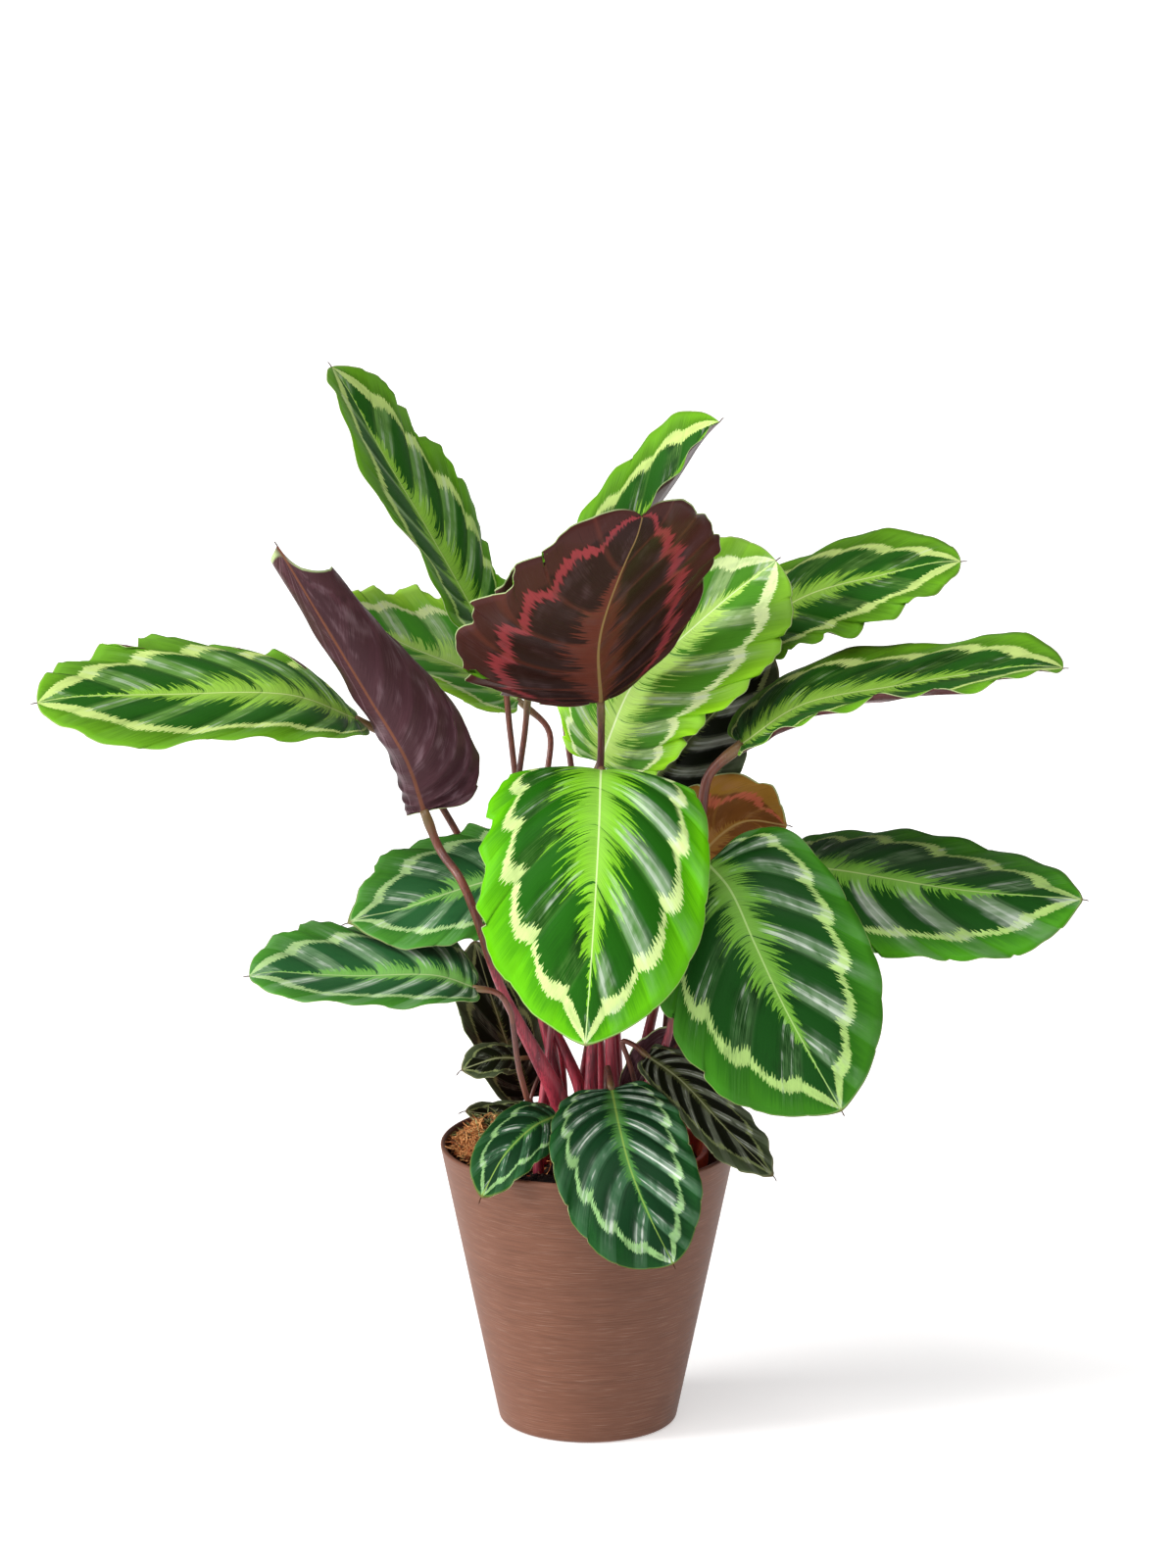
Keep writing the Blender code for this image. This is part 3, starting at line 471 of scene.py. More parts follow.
def green_margin(k):
    """The margin outside the pale band, darker towards the band."""
    arch = k.phase.rise(0, 0.55) * 0.065 - k.phase.rise(0.7, 1) * 0.075
    jag = k.barb * 0.03 + k.fine * 0.02 + k.hair * 0.04
    edge = arch * k.look.scallop + 0.69 + 0.02 * k.look.band + jag - k.tip
    k.outside = (k.reach - edge).rise(-0.004, 0.004)
    shadow = (k.reach - edge + k.hair * 0.35 + k.tooth * 0.2).rise(0.2, 0)
    green = k.mix(shadow * 0.8 + k.cloud * 0.8 + k.hair * 0.5, k.look.margin, k.look.inner)
    # Painted highlight of the pleats' lit flanks, carried into the margin.
    green = k.mix(k.flank * 0.25 * k.look.streaks, green, k.look.silver)
    if k.look.dulls:
        green = k.mix(k.along.rise(0.5, 0.85) * k.look.dulls, green, DULL_MARGIN)
    k.layer(k.outside, green)


def pale_band(k):
    """The pale band inside the margin, scalloped between the side veins."""
    arch = k.phase.rise(0, 0.4) * 0.04 - k.phase.rise(0.6, 1) * 0.105
    start = arch * k.look.scallop + 0.705 - 0.02 * k.look.band - k.along.rise(0.76, 0.98) * 0.18
    begin = k.reach - start + k.barb * 0.05 + k.fine * 0.022 - 0.025 + k.tip
    band = begin.rise(-0.004, 0.004) * (1 - k.outside) * k.along.rise(0.015, 0.07)
    faded = 1 - (k.patch * 0.8 + k.hair + 0.1).rise(0, 0.35) * k.look.streaks * 0.7
    k.layer(band * faded * (0.95 + k.hair * 0.7), k.look.pale)


def feather(k):
    """The feather along the midrib, with barbs that point along the side veins."""
    full = k.along.rise(0.03, 0.4) * 0.18 + 0.17 - k.along.rise(0.64, 1) * 0.25
    full = full * k.look.feather
    length = full * (k.phase ** 0.85 * 0.55 - 0.05) - 0.01
    plume = k.barbs(7, k.tooth + k.hair * 0.3) * full * 0.75
    inside = (length + plume + k.barb * full * 0.3 + k.hair * 0.12 - k.reach).rise(-0.005, 0.006)
    k.layer(inside * (0.9 + k.hair * 1.4 - k.fine * 0.16), k.look.lime)
    k.layer(inside * (k.reach / (full + 0.03)).rise(0.5, 0) * 0.12, k.look.pale)


def painted_highlights(k):
    """Painted highlights: long crisp streaks and a broader painted sheen on the pleats' lit flanks.
    """
    sweep = k.grained(1.1, 1.7, 31)
    broken = (sweep * 2.2 + k.hair * 0.8 + k.patch * 0.9 + k.sheen_strength * 0.7).rise(0.25, 0.65)
    stripe = abs(k.phase - 0.8 + k.tooth * 0.16).rise(0.055, 0.025)
    stripe = stripe + abs(k.phase - 0.62 + k.tooth * 0.2).rise(0.035, 0.015) * 0.6
    stripe = stripe * broken * (1 + k.hair * 1.6) * k.reach.rise(0.06, 0.22) * k.reach.rise(0.96, 0.7)
    k.stripe = stripe
    gloss = k.mix(k.outside * 0.7, HIGHLIGHT_WHITE, k.look.silver)
    share = stripe * (1 - k.outside * 0.5) * k.along.rise(0.05, 0.2) * k.look.streaks
    k.layer(share * 0.75, gloss)
    broad_sheen = (k.phase + k.tooth * 0.3).rise(0.42, 0.62) * (k.phase + k.tooth * 0.2).rise(1, 0.86)
    broad_sheen = broad_sheen * k.sheen_strength.rise(0.55, 0.85) * k.reach.rise(0.16, 0.4)
    broad_sheen = broad_sheen * (k.patch + sweep + 0.2).rise(-0.1, 0.5)
    k.layer(broad_sheen * (1 - k.outside * 0.4) * 0.42, gloss)
    k.layer(k.crease * (1 - k.outside) * 0.18, k.look.silver)


def upper_side(name):
    colours, *measures = UPPER[name]
    k = LeafPaint("leaf_" + name, Upper(*colours.split(), *measures), 0.09)
    k.tooth = k.grained(9, 1.3)
    k.hair = k.grained(55, 3)
    k.cloud = k.grained(1.3, 3, 4)
    k.patch = k.grained(2.6, 7, 11)
    k.barb = k.barbs(13, k.tooth) ** 1.4
    k.fine = k.barbs(29, k.tooth)
    k.crease = abs(k.phase - 0.5).rise(0.43, 0.5)
    k.tip = k.along.rise(0.8, 1) * 0.05
    for part in (dark_ground, green_margin, pale_band, feather, painted_highlights):
        part(k)
    midrib = (1.3 - k.along * 0.95 - k.off).rise(-0.2, 0.2)
    k.layer(midrib * 0.9, k.look.rib)
    k.layer(k.rim.rise(0.6, 0.3) * 0.35, k.look.rib)
    k.layer(k.rim.rise(0.3, 0.12) * 0.6, DRY_EDGE)
    k.layer(k.along.rise(0.996, 1), DRY_TIP)
    k.bump(k.hair * 0.5 + k.tooth * 0.3 - k.crease * 0.5, 0.35 * MM)
    return k.finish(0.46 + k.cloud * 0.12 + k.hair * 0.1 - k.stripe * 0.06)


def red_pattern(k):
    """The faint red band and feather that show through an underside."""
    barb = k.barbs(9, k.tooth) ** 1.3
    start = k.phase.rise(0, 0.4) * 0.06 + 0.6 - k.phase.rise(0.6, 1) * 0.1
    begin = (k.reach - start + barb * 0.07 - k.hair * 0.08).rise(-0.02, 0.03)
    stop = (start + 0.065 + barb * 0.05 + k.tooth * 0.2 - k.reach).rise(-0.015, 0.02)
    band = begin * stop * k.along.rise(0.1, 0.2) * (k.cloud + 0.3).rise(0, 0.2)
    k.layer(band * 0.9, k.look.band)
    full = k.along.rise(0.1, 0.5) * 0.1 + 0.1 - k.along.rise(0.6, 0.98) * 0.2
    teeth = full * (k.phase * 0.8 + 0.3) + barb * full * 0.8 + k.hair * 0.08
    k.layer((teeth - k.reach).rise(-0.02, 0.03) * 0.75, k.look.feather)


def underside(name):
    look = Under(*UNDER[name].split())
    k = LeafPaint("under_" + name, look, 0.12)
    k.tooth = k.grained(8, 2.2, 9)
    k.hair = k.grained(40, 4, 9)
    k.cloud = k.grained(0.9, 3, 7)
    patch = k.grained(2.4, 5, 13)
    crease = abs(k.phase - 0.5).rise(0.42, 0.5)
    outside = (k.reach + k.tooth * 0.1).rise(0.7, 0.76)
    k.colour = k.mix(outside * 0.9 + k.cloud * 0.5, look.ground, look.margin)
    red_pattern(k)
    k.layer(crease * 0.35, look.feather)
    # Painted sheen: pale patches of painted reflection over the underside.
    k.layer((patch + k.cloud + k.hair * 0.5).rise(0, 0.4) * 0.55, look.gloss)
    k.layer((k.hair + k.tooth * 0.3).rise(-0.08, -0.28) * 0.4, UNDER_SHADOW)
    if name == "violet":
        # Lengthwise lines on the rolled leaf: painted highlights in the sheen colour and painted
        # shade in the creases between them.
        grain = k.noise(k.side * 24, k.along * 1.2, 5) * k.side.rise(0.02, 0.1)
        k.layer(grain.rise(0.06, 0.16) * 0.5, look.gloss)
        k.layer(grain.rise(-0.06, -0.16) * 0.5, UNDER_CREASE_SHADE)
    k.layer((2 - k.along * 1.4 - k.off).rise(-0.3, 0.4) * 0.9, look.rib)
    k.layer(k.rim.rise(0.8, 0.35) * 0.85 * k.along.rise(0.98, 0.9), LIT_EDGE)
    k.layer(k.along.rise(0.996, 1), DRY_TIP)
    k.bump(k.hair * 0.6 + k.tooth * 0.3 - crease * 0.6, 0.4 * MM)
    return k.finish(0.4 + k.cloud * 0.14 + k.hair * 0.08)


def stalk_skin():
    k = Paint("stalk", 0.5)
    share, sheath = k.attribute("stalk_place")[:2]
    line = k.over_object(900, 30)
    cloud = k.over_object(60, 22)
    fleck = k.over_object(700, 420)
    k.colour = k.mix((cloud + line * 0.8).rise(-0.2, 0.25), "7c4636", "54302a")
    red = k.mix((cloud + line).rise(-0.2, 0.25), "b83c4e", "742634")
    k.layer((sheath + cloud * 0.5).rise(0, 0.55), red)
    k.layer(share.rise(0.93, 0.99) * 0.6, "7a6a3c")
    k.layer(fleck.rise(0.2, 0.26) * 0.5, "d0a0a4")
    k.layer(share.rise(0.09, 0) * 0.8, "3c2418")
    k.bump(line * 0.7 + cloud * 0.5, 0.3 * MM)
    return k.finish(0.38 + cloud * 0.2)


def brushed_pot():
    k = Paint("cover_pot", 0.25)
    fine = k.over_object(40, 1400, detail=3)
    broad = k.over_object(6, 240, detail=3)
    dash = k.over_object(42, 1700)
    speck = k.over_object(500, 900)
    k.colour = k.mix((fine * 0.8 + broad * 0.25).rise(-0.4, 0.4), "5a3727", "7a503d")
    k.layer(dash.rise(0.04, 0.26) * 0.24, "b3917f")
    k.layer(speck.rise(-0.18, -0.3) * 0.4, "684638")
    k.bump(fine * 0.6 + dash * 0.7 + broad * 0.1, 0.18 * MM)
    return k.finish(0.5 + fine * 0.2)


def plastic_pot():
    k = Paint("nursery_pot", 0.4)
    dust = k.over_object(120, 120, detail=4)
    grain = k.over_object(900, 900)
    k.colour = k.mix(dust.rise(-0.1, 0.3), "c8502f", "9c3f28")
    k.layer((dust + grain).rise(0.2, 0.45) * 0.6, "4a3020")
    k.bump(grain, 0.15 * MM)
    return k.finish(0.5 + dust * 0.3)


def earth():
    k = Paint("soil", 0.2)
    clod = k.over_object(160, 160, detail=5, rough=0.65)
    grain = k.over_object(900, 900, detail=3)
    k.colour = k.mix((clod + grain * 0.6).rise(-0.25, 0.25), "0e0906", "33221a")
    k.layer(grain.rise(0.16, 0.26) * 0.6, "8a6640")
    k.bump(clod + grain * 0.5, 2 * MM)
    return k.finish(0.9 + grain * 0.2)


def bits_skin(name, first, second, level=500):
    k = Paint(name, 0.25)
    patch = k.over_object(110, 110, detail=3)
    grain = k.over_object(level, level * 0.4, detail=3)
    k.colour = k.mix((patch * 1.4 + grain).rise(-0.3, 0.3), first, second)
    k.bump(grain, 0.5 * MM)
    return k.finish(0.8 + patch * 0.3)


def white_floor():
    k = Paint("floor", 0.3, Roughness=0.5, Emission_Strength=FLOOR_GLOW,
              Emission_Color=(1, 1, 1, 1))
    k.colour = k.mix(k.over_object(1.5, 0).rise(-0.4, 0.4), "f4f3f2", "f7f6f5")
    return k.finish()


# Placing, as in the part's source.


def at(column, row, depth):
    """The point, in metres, that the photograph shows at a pixel, at a depth in mm."""
    cosine, sine = cos(EYE_ELEVATION), sin(EYE_ELEVATION)
    across = (column - MIDDLE_COLUMN) / FOCAL
    up = (MIDDLE_ROW - row) / FOCAL
    way = np.array((across, cosine + up * sine, -sine + up * cosine))
    return EYE + way * ((depth * MM - EYE[1]) / way[1])


def run_lengths(points):
    """How far along a line each of its points is."""
    return np.concatenate(([0], np.cumsum(np.linalg.norm(np.diff(points, axis=0), axis=1))))


def smooth(points, count):
    """Evenly spaced points on a centripetal curve through the points, and its length."""
    points = [np.asarray(p, float) for p in points]
    first = 2 * points[0] - points[1]
    last = 2 * points[-1] - points[-2]
    points = [first] + points + [last]
    dense = []
    for a, b, c, d in zip(points, points[1:], points[2:], points[3:]):
        knots = [0.0]
        for p, q in ((a, b), (b, c), (c, d)):
            knots.append(knots[-1] + sqrt(np.linalg.norm(q - p)))
        t0, t1, t2, t3 = knots
        t = np.linspace(t1, t2, 60, endpoint=False)[:, None]

        def blend(p, q, low, high):
            return p * (high - t) / (high - low) + q * (t - low) / (high - low)

        p, q, r = blend(a, b, t0, t1), blend(b, c, t1, t2), blend(c, d, t2, t3)
        dense.append(blend(blend(p, q, t0, t2), blend(q, r, t1, t3), t1, t2))
    dense = np.vstack(dense + [points[-2][None, :]])
    run = run_lengths(dense)
    even = np.linspace(0, run[-1], count)
    return np.stack([np.interp(even, run, dense[:, k]) for k in range(3)], axis=1), run[-1]


def unit(vectors):
    return vectors / np.linalg.norm(vectors, axis=-1, keepdims=True)


def hill(away, spread):
    """1 at the middle, and falling off smoothly around it."""
    return exp(-((away / spread) ** 2))


class Midrib:
    """A blade's middle line with, at each share u of its length, its run, side and face ways."""

    def __init__(self, leaf):
        points, self.length = smooth([at(*p) for p in leaf.path], MIDRIB_SAMPLES)
        run = unit(np.gradient(points, axis=0))
        hint = np.array(leaf.face)
        face = unit(hint - run * np.sum(hint * run, axis=1, keepdims=True))
        self.ways = np.stack((points, run, np.cross(run, face), face))

    def place(self, u, across, lift):
        """The points at share u along, moved across and lifted, all arrays of one shape."""
        inner = np.clip(u, 0, 1)
        index = inner * (MIDRIB_SAMPLES - 1)
        low = np.minimum(index.astype(int), MIDRIB_SAMPLES - 2)
        part = (index - low)[..., None]
        spot, run, side, face = self.ways[:, low] * (1 - part) + self.ways[:, low + 1] * part
        beyond = ((u - inner) * self.length)[..., None]
        return spot + run * beyond + side * across[..., None] + face * lift[..., None]


def eased(q):
    """From 0 to 1 as q does, slow at both ends."""
    return (1 - np.cos(pi * q)) / 2


def half_width(q, leaf):
    """The half width at the margin's share q of the way round, as a share of the greatest."""
    near = (1 - np.clip(1 - q / WIDEST, 0, 1) ** BASE_ROUND) ** leaf.heel
    past = np.clip((eased(q) - TIP_ROUND[0]) / (1 - TIP_ROUND[0]), 0, 1)
    far = (1 - past ** TIP_ROUND[1]) ** leaf.blunt
    return np.where(q < WIDEST, np.maximum(near, BASE_SHARE), far)


def by_side(values, t, q):
    """The left or right half's value, going over to the tip's values if there are any."""
    values = values if len(values) == 4 else values * 2
    first = np.where(t < 0, values[0], values[1])
    last = np.where(t < 0, values[2], values[3])
    return first + (last - first) * q


def margin(leaf, vein, q, t):
    """How far the margin is drawn in: cut to points, rounded into lobes, or nearly plain."""
    style = np.where(t < 0, *leaf.edges)
    part = vein % 1
    pointed = (1 - np.abs(2 * part ** 1.6 - 1)) ** 1.25
    lobed = np.abs(np.sin(pi * part)) ** 0.55
    tooth = np.where(style > 0, pointed, lobed)
    uneven = 0.75 + 0.45 * np.sin(1.9 * np.floor(vein) + len(leaf.name) + np.where(t < 0, 0, 2.0))
    depth = (CUT * np.abs(style) + PLAIN_CUT) * uneven * np.minimum(1, 7 * q * (1 - q))
    dents = DENT * np.sin(tau * (2.6 * vein + 0.4 * np.sin(vein)))
    return depth * (1 - tooth) + dents * np.abs(style)


def along_midrib(leaf, q, t):
    """The share of the midrib that a point is beside, as the side veins bow to the tip."""
    reach = np.abs(t)
    start = q ** VEIN_START
    lobe = LOBE_SHARE * (q / LOBE_PLACE) ** 2 * np.exp(2 - 2 * q / LOBE_PLACE)
    bow = VEIN_BOW[0] - VEIN_BOW[1] * q ** 3
    u = start + (eased(q) - start) * reach ** bow - lobe * reach ** 2
    middle, beside = leaf.notch
    u = u - middle * np.clip((q - MIDDLE_NOTCH[0]) / MIDDLE_NOTCH[1], 0, 1) ** 2
    left = beside * np.clip(-1.1 * t - 0.1, 0, 1)
    return u - left * np.sin(pi * np.clip((q - SIDE_NOTCH[0]) / SIDE_NOTCH[1], 0, 1))


def folded(leaf, q, t, span):
    """How far across and over the midrib a point is once its half is folded and curled."""
    fold = np.radians(by_side(leaf.fold, t, q))
    curl = np.radians(by_side(leaf.curl, t, q))
    if leaf.roll:
        curl = span / (by_side(leaf.roll, t, q) * MM)
    curl = np.where(np.abs(curl) < LEAST_BEND, LEAST_BEND, curl)
    turned = fold + curl * np.abs(t)
    across = span * (np.sin(turned) - np.sin(fold)) / curl
    return across, span * (np.cos(fold) - np.cos(turned)) / curl


def relief(leaf, q, t, vein, width):
    """How far the pleats between the side veins and the margin's waves lift a point."""
    reach = np.abs(t)
    rise = np.minimum(reach * RIDGE_REACH[0] + RIDGE_REACH[1], 1)
    pleat = PLEAT_SHARE * leaf.pleats * np.where(t < 0, *leaf.wide) * MM * np.sin(pi * rise)
    bulge = 0.5 * np.abs(np.sin(pi * vein)) + 0.5 * np.sin(pi * (vein % 1) ** 0.8)
    pleat = pleat * bulge * np.minimum(1, width * 1.2) * np.minimum(1, reach * 12)
    turn = tau * (leaf.veins * WAVES_PER_VEIN * q + WAVE_STEP * len(leaf.name))
    wave = np.sin(turn + np.where(t < 0, LEFT_WAVE_LAG, 0))
    lobed = np.clip(-np.where(t < 0, *leaf.edges), 0, 1)
    ruffle = np.sin(tau * (vein + RUFFLE_STEP * LEAVES.index(leaf)))
    ruffle = ruffle * (RUFFLE[0] + RUFFLE[1] * lobed)
    ends = np.minimum(1, 4 * q * (1 - q))
    return pleat + leaf.wave * MM * (wave * reach ** 2 + ruffle * reach ** 6) * ends


def blade_surface(leaf, rib, q, t):
    """The middle surface and what the materials read at each of its points."""
    q, t = np.meshgrid(q, t, indexing="ij")
    reach = np.abs(t)
    beyond = np.clip(q - 1, 0, 1)
    q = np.clip(q, 0, 1)
    u = along_midrib(leaf, q, t)
    vein = leaf.veins * q + STAGGER * t / (reach + 0.12) * np.minimum(1, 6 * q * (1 - q))
    width = half_width(q, leaf) * (1 - margin(leaf, vein, q, t) * reach ** 3)
    span = np.where(t < 0, *leaf.wide) * MM * width
    across, lift = folded(leaf, q, t, span)
    lift = lift + relief(leaf, q, t, vein, width)
    lift = lift + leaf.curled * MM * np.clip((u - TIP_BEND[0]) / TIP_BEND[1], 0, 1.3) ** 2
    lift = lift - TAIL_DROOP * beyond ** 2 * rib.length
    tail = TAIL_WIDTH * np.clip(1 - TAIL_TAPER * beyond, 0.35, 1)
    across = np.maximum(across, 0) + reach * tail
    spots = rib.place(u + beyond * (1 - 0.2 * reach), np.sign(t) * across, lift)
    left, right = leaf.silver
    sheen_strength = left + (right - left) * np.clip(0.5 + 4 * t, 0, 1)
    place = np.stack((vein + 20 * LEAVES.index(leaf), t, q + beyond), axis=-1)
    near = np.stack((span * reach / MM, span * (1 - reach) / MM, sheen_strength), axis=-1)
    return spots, place, near


def attach(mesh, name, values):
    layer = mesh.attributes.new(name, "FLOAT_VECTOR", "POINT")
    layer.data.foreach_set("vector", np.asarray(values, np.float32).ravel())


def add(name, data):
    thing = bpy.data.objects.new(name, data)
    bpy.context.collection.objects.link(thing)
    return thing


def piece(name, verts, faces, materials, node):
    """The mesh of a smooth object that rides on the part and stands for a CAD node."""
    mesh = bpy.data.meshes.new(name)
    mesh.from_pydata([tuple(v) for v in verts], [], faces)
    for material in materials:
        mesh.materials.append(material)
    mesh.shade_smooth()
    thing = add(name, mesh)
    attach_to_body(thing, "root")
    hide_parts(node)
    return mesh


def blade_faces(rows, columns):
    """The upper side's faces, and those of the underside and the edge, with a point as tip."""
    total = rows * columns + 1
    last = (rows - 1) * columns
    upper = [(a, a + 1, a + columns + 1, a + columns)
             for row in range(0, last, columns) for a in range(row, row + columns - 1)]
    upper += [(a, a + 1, total - 1) for a in range(last, last + columns - 1)]
    lower = [tuple(n + total for n in face[::-1]) for face in upper]
    rim = list(range(columns)) + [a + columns - 1 for a in range(columns, total - 1, columns)]
    rim += [total - 1] + list(range(last, 0, -columns))
    edge = [(b, a, a + total, b + total) for a, b in zip(rim, rim[1:] + rim[:1])]
    return upper, lower + edge


def fine_blade(leaf, materials):
    """A closed blade with a raised midrib below and a dry tail at its tip."""
    rib = Midrib(leaf)
    rows = leaf.veins * ROWS_PER_VEIN
    tail = TAIL_LENGTH / rib.length
    q = np.concatenate((np.linspace(0, 1, rows + 1)[:-1], 1 - np.array(TIP_ROWS) / rows,
                        1 + tail * np.linspace(0, 1, TAIL_ROWS)))
    side = (np.arange(HALF_COLUMNS + 1) / HALF_COLUMNS) ** CROWDING
    t = np.concatenate((-side[:0:-1], side))
    grid, place, near = blade_surface(leaf, rib, q, t)
    normals = unit(np.cross(np.gradient(grid, axis=1), np.gradient(grid, axis=0)))
    half = BLADE_THICKNESS / 2
    left = 1 - np.minimum(place[..., 2:], 1)
    core = RIB_DEPTH * left ** 1.3 + LEAST_RIB[0]
    away = near[..., :1] / (RIB_REACH * left + LEAST_RIB[1])
    ridge = core * np.exp(-(away ** 2)) * np.minimum(1, left * 6)
    thin = half * (1 - EDGE_THINNING * np.abs(t)[None, :, None] ** 8)
    top = (grid + normals * (thin - RIB_ABOVE * ridge)).reshape(-1, 3)
    low = (grid - normals * (thin + ridge)).reshape(-1, 3)
    tip = 2 * grid[-1, HALF_COLUMNS] - grid[-2, HALF_COLUMNS]
    raised = normals[-1, HALF_COLUMNS] * half * TIP_THICKNESS
    upper, lower = blade_faces(len(q), len(t))
    mesh = piece("leaf_" + leaf.name, np.vstack((top, tip + raised, low, tip - raised)),
                 upper + lower, materials, "blade_" + leaf.name)
    mesh.polygons.foreach_set("material_index", [0] * len(upper) + [1] * len(lower))
    tip_place = (place[-1, HALF_COLUMNS, 0], 0, 1 + tail)
    attach(mesh, "leaf_place", np.vstack([place.reshape(-1, 3), tip_place] * 2))
    attach(mesh, "leaf_near", np.vstack([near.reshape(-1, 3), (0, 0, 0)] * 2))


def cad_rings(node):
    """The rings of a CAD stalk, from its foot up, read off its mesh."""
    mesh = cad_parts[node].data
    points = np.array([v.co[:] for v in mesh.vertices])
    keys, which = np.unique(np.round(points, 6), axis=0, return_inverse=True)
    which = which.ravel()
    links = [set() for _ in keys]
    for face in mesh.polygons:
        corners = [which[v] for v in face.vertices]
        for one in corners:
            links[one].update(corners)
    ring = [k for k in range(len(keys)) if keys[k][2] < keys[:, 2].min() + 0.1 * MM]
    seen = set(ring)
    rings = []
    while ring:
        rings.append(keys[ring])
        ring = sorted({n for k in ring for n in links[k]} - seen)
        seen.update(ring)
    return rings


def wrapped(first, rings, sides):
    """Quads between rings of points, each ring numbered on from the one before."""
    for start in range(first, first + rings * sides, sides):
        for k in range(sides):
            a, b = start + k, start + (k + 1) % sides
            yield a, b, b + sides, a + sides


def fine_stalk(leaf, skin):
    """A round stalk with an overlapping sheath, along the middle of the CAD one."""
    rings = cad_rings("stalk_" + leaf.name)
    centres = [ring.mean(axis=0) for ring in rings]
    radii = [np.linalg.norm(r - c, axis=1).mean() for r, c in zip(rings, centres)]
    line = smooth(centres, STALK_ROWS)[0]
    knots = run_lengths(centres)
    share = np.linspace(0, 1, STALK_ROWS)
    radius = np.interp(share * knots[-1], knots, radii)
    runs = unit(np.gradient(line, axis=0))
    line[-1] = line[-1] + runs[-1] * STALK_TAIL * MM
    seam = random.Random(leaf.name).uniform(0, ANY_TURN)
    side = np.array((1.0, 0.0, 0.0))
    verts, place = [], []
    for k in range(STALK_ROWS):
        side = unit(side - runs[k] * np.dot(side, runs[k]))
        other = np.cross(runs[k], side)
        sheath = np.clip((leaf.sheath + SHEATH_PAST - share[k]) / SHEATH_FADE, 0, 1)
        swell = 1 + KNEE_SWELL * hill(share[k] - KNEE_PLACE, KNEE_LENGTH)
        for n in range(STALK_SIDES):
            angle = tau * n / STALK_SIDES
            turn = (angle - seam - SHEATH_TWIST * share[k]) % tau
            lap = sheath * SHEATH_LAP * (turn / tau)
            r = radius[k] * swell * (SLIMMED + lap + FLUTE * cos(3 * angle + seam))
            verts.append(line[k] + (side * cos(angle) + other * sin(angle)) * r)
            place.append((share[k], sheath, 0))
    faces = list(wrapped(0, STALK_ROWS - 1, STALK_SIDES))
    top = (STALK_ROWS - 1) * STALK_SIDES
    faces.append(tuple(range(STALK_SIDES - 1, -1, -1)))
    faces.append(tuple(range(top, top + STALK_SIDES)))
    mesh = piece("stem_" + leaf.name, verts, faces, [skin], "stalk_" + leaf.name)
    attach(mesh, "stalk_place", place)


# The pots and the soil.


def around(radius, sides):
    """Evenly spaced (x, y) points on a circle."""
    turns = [tau * k / sides for k in range(sides)]
    return [(radius * cos(turn), radius * sin(turn)) for turn in turns]


def lathe(name, profile, material, node):
    """A closed body turned about Z from (radius, height) pairs; radius 0 is a point."""
    verts = []
    rings = []
    for radius, height in profile:
        ring = around(radius, POT_SIDES) if radius else [(0, 0)]
        rings.append(range(len(verts), len(verts) + len(ring)))
        verts += [(x, y, height) for x, y in ring]
    faces = []
    for low, high in zip(rings, rings[1:]):
        for k in range(POT_SIDES):
            n = (k + 1) % POT_SIDES
            corners = [low[k % len(low)], low[n % len(low)], high[n % len(high)],
                       high[k % len(high)]]
            faces.append(tuple(dict.fromkeys(corners)))
    mesh = piece(name, verts, faces, [material], node)
    mesh.set_sharp_from_angle(angle=POT_SHARP)


def arc(middle, radius, start, stop, steps):
    """(radius, height) pairs on an arc, in degrees from outward, turning up."""
    angles = [radians(start + (stop - start) * k / steps) for k in range(steps + 1)]
    return [(middle[0] + radius * cos(a), middle[1] + radius * sin(a)) for a in angles]


def fine_cover_pot():
    foot = (BASE_DIAMETER / 2 - FOOT_ROUND, FOOT_ROUND)
    lip = (RIM_DIAMETER / 2 - POT_WALL / 2, POT_HEIGHT - POT_WALL / 2)
    inner_foot = BASE_DIAMETER / 2 - POT_WALL
    wall = arc(foot, FOOT_ROUND, -90, -WALL_LEAN, FOOT_STEPS)
    rim = arc(lip, POT_WALL / 2, -WALL_LEAN, 180, RIM_STEPS)
    (low, bottom), (high, top) = wall[-1], rim[0]
    wall += [(low + (high - low) * k / WALL_STEPS, bottom + (top - bottom) * k / WALL_STEPS)
             for k in range(1, WALL_STEPS)]
    inside = [(inner_foot, POT_FLOOR + INNER_BEVEL[1]), (inner_foot - INNER_BEVEL[0], POT_FLOOR),
              (0, POT_FLOOR)]
    lathe("pot_cover", [(0, 0)] + wall + rim + inside, brushed_pot(), "cover_pot")


def nursery_inside(height):
    share = (height - POT_FLOOR) / (NURSERY_TOP - POT_FLOOR)
    outside = NURSERY_BASE_RADIUS
    outside += (NURSERY_RIM_RADIUS - NURSERY_LIP - NURSERY_BASE_RADIUS) * share
    return outside - NURSERY_WALL


def fine_nursery_pot():
    bottom = POT_FLOOR + GAP
    floor = bottom + NURSERY_WALL
    wall_top = NURSERY_TOP - NURSERY_LIP_DEPTH
    edge, edge_height = NURSERY_EDGE, NURSERY_TOP - NURSERY_EDGE
    profile = [(0, bottom), (nursery_inside(bottom) + NURSERY_WALL, bottom),
               (nursery_inside(wall_top) + NURSERY_WALL, wall_top),
               (NURSERY_RIM_RADIUS, wall_top + NURSERY_LIP)]
    profile += arc((NURSERY_RIM_RADIUS - edge, edge_height), edge, 0, 90, EDGE_STEPS)
    profile += arc((nursery_inside(NURSERY_TOP) + edge, edge_height), edge, 90, 180, EDGE_STEPS)
    profile += [(nursery_inside(floor), floor), (0, floor)]
    lathe("pot_nursery", profile, plastic_pot(), "nursery_pot")


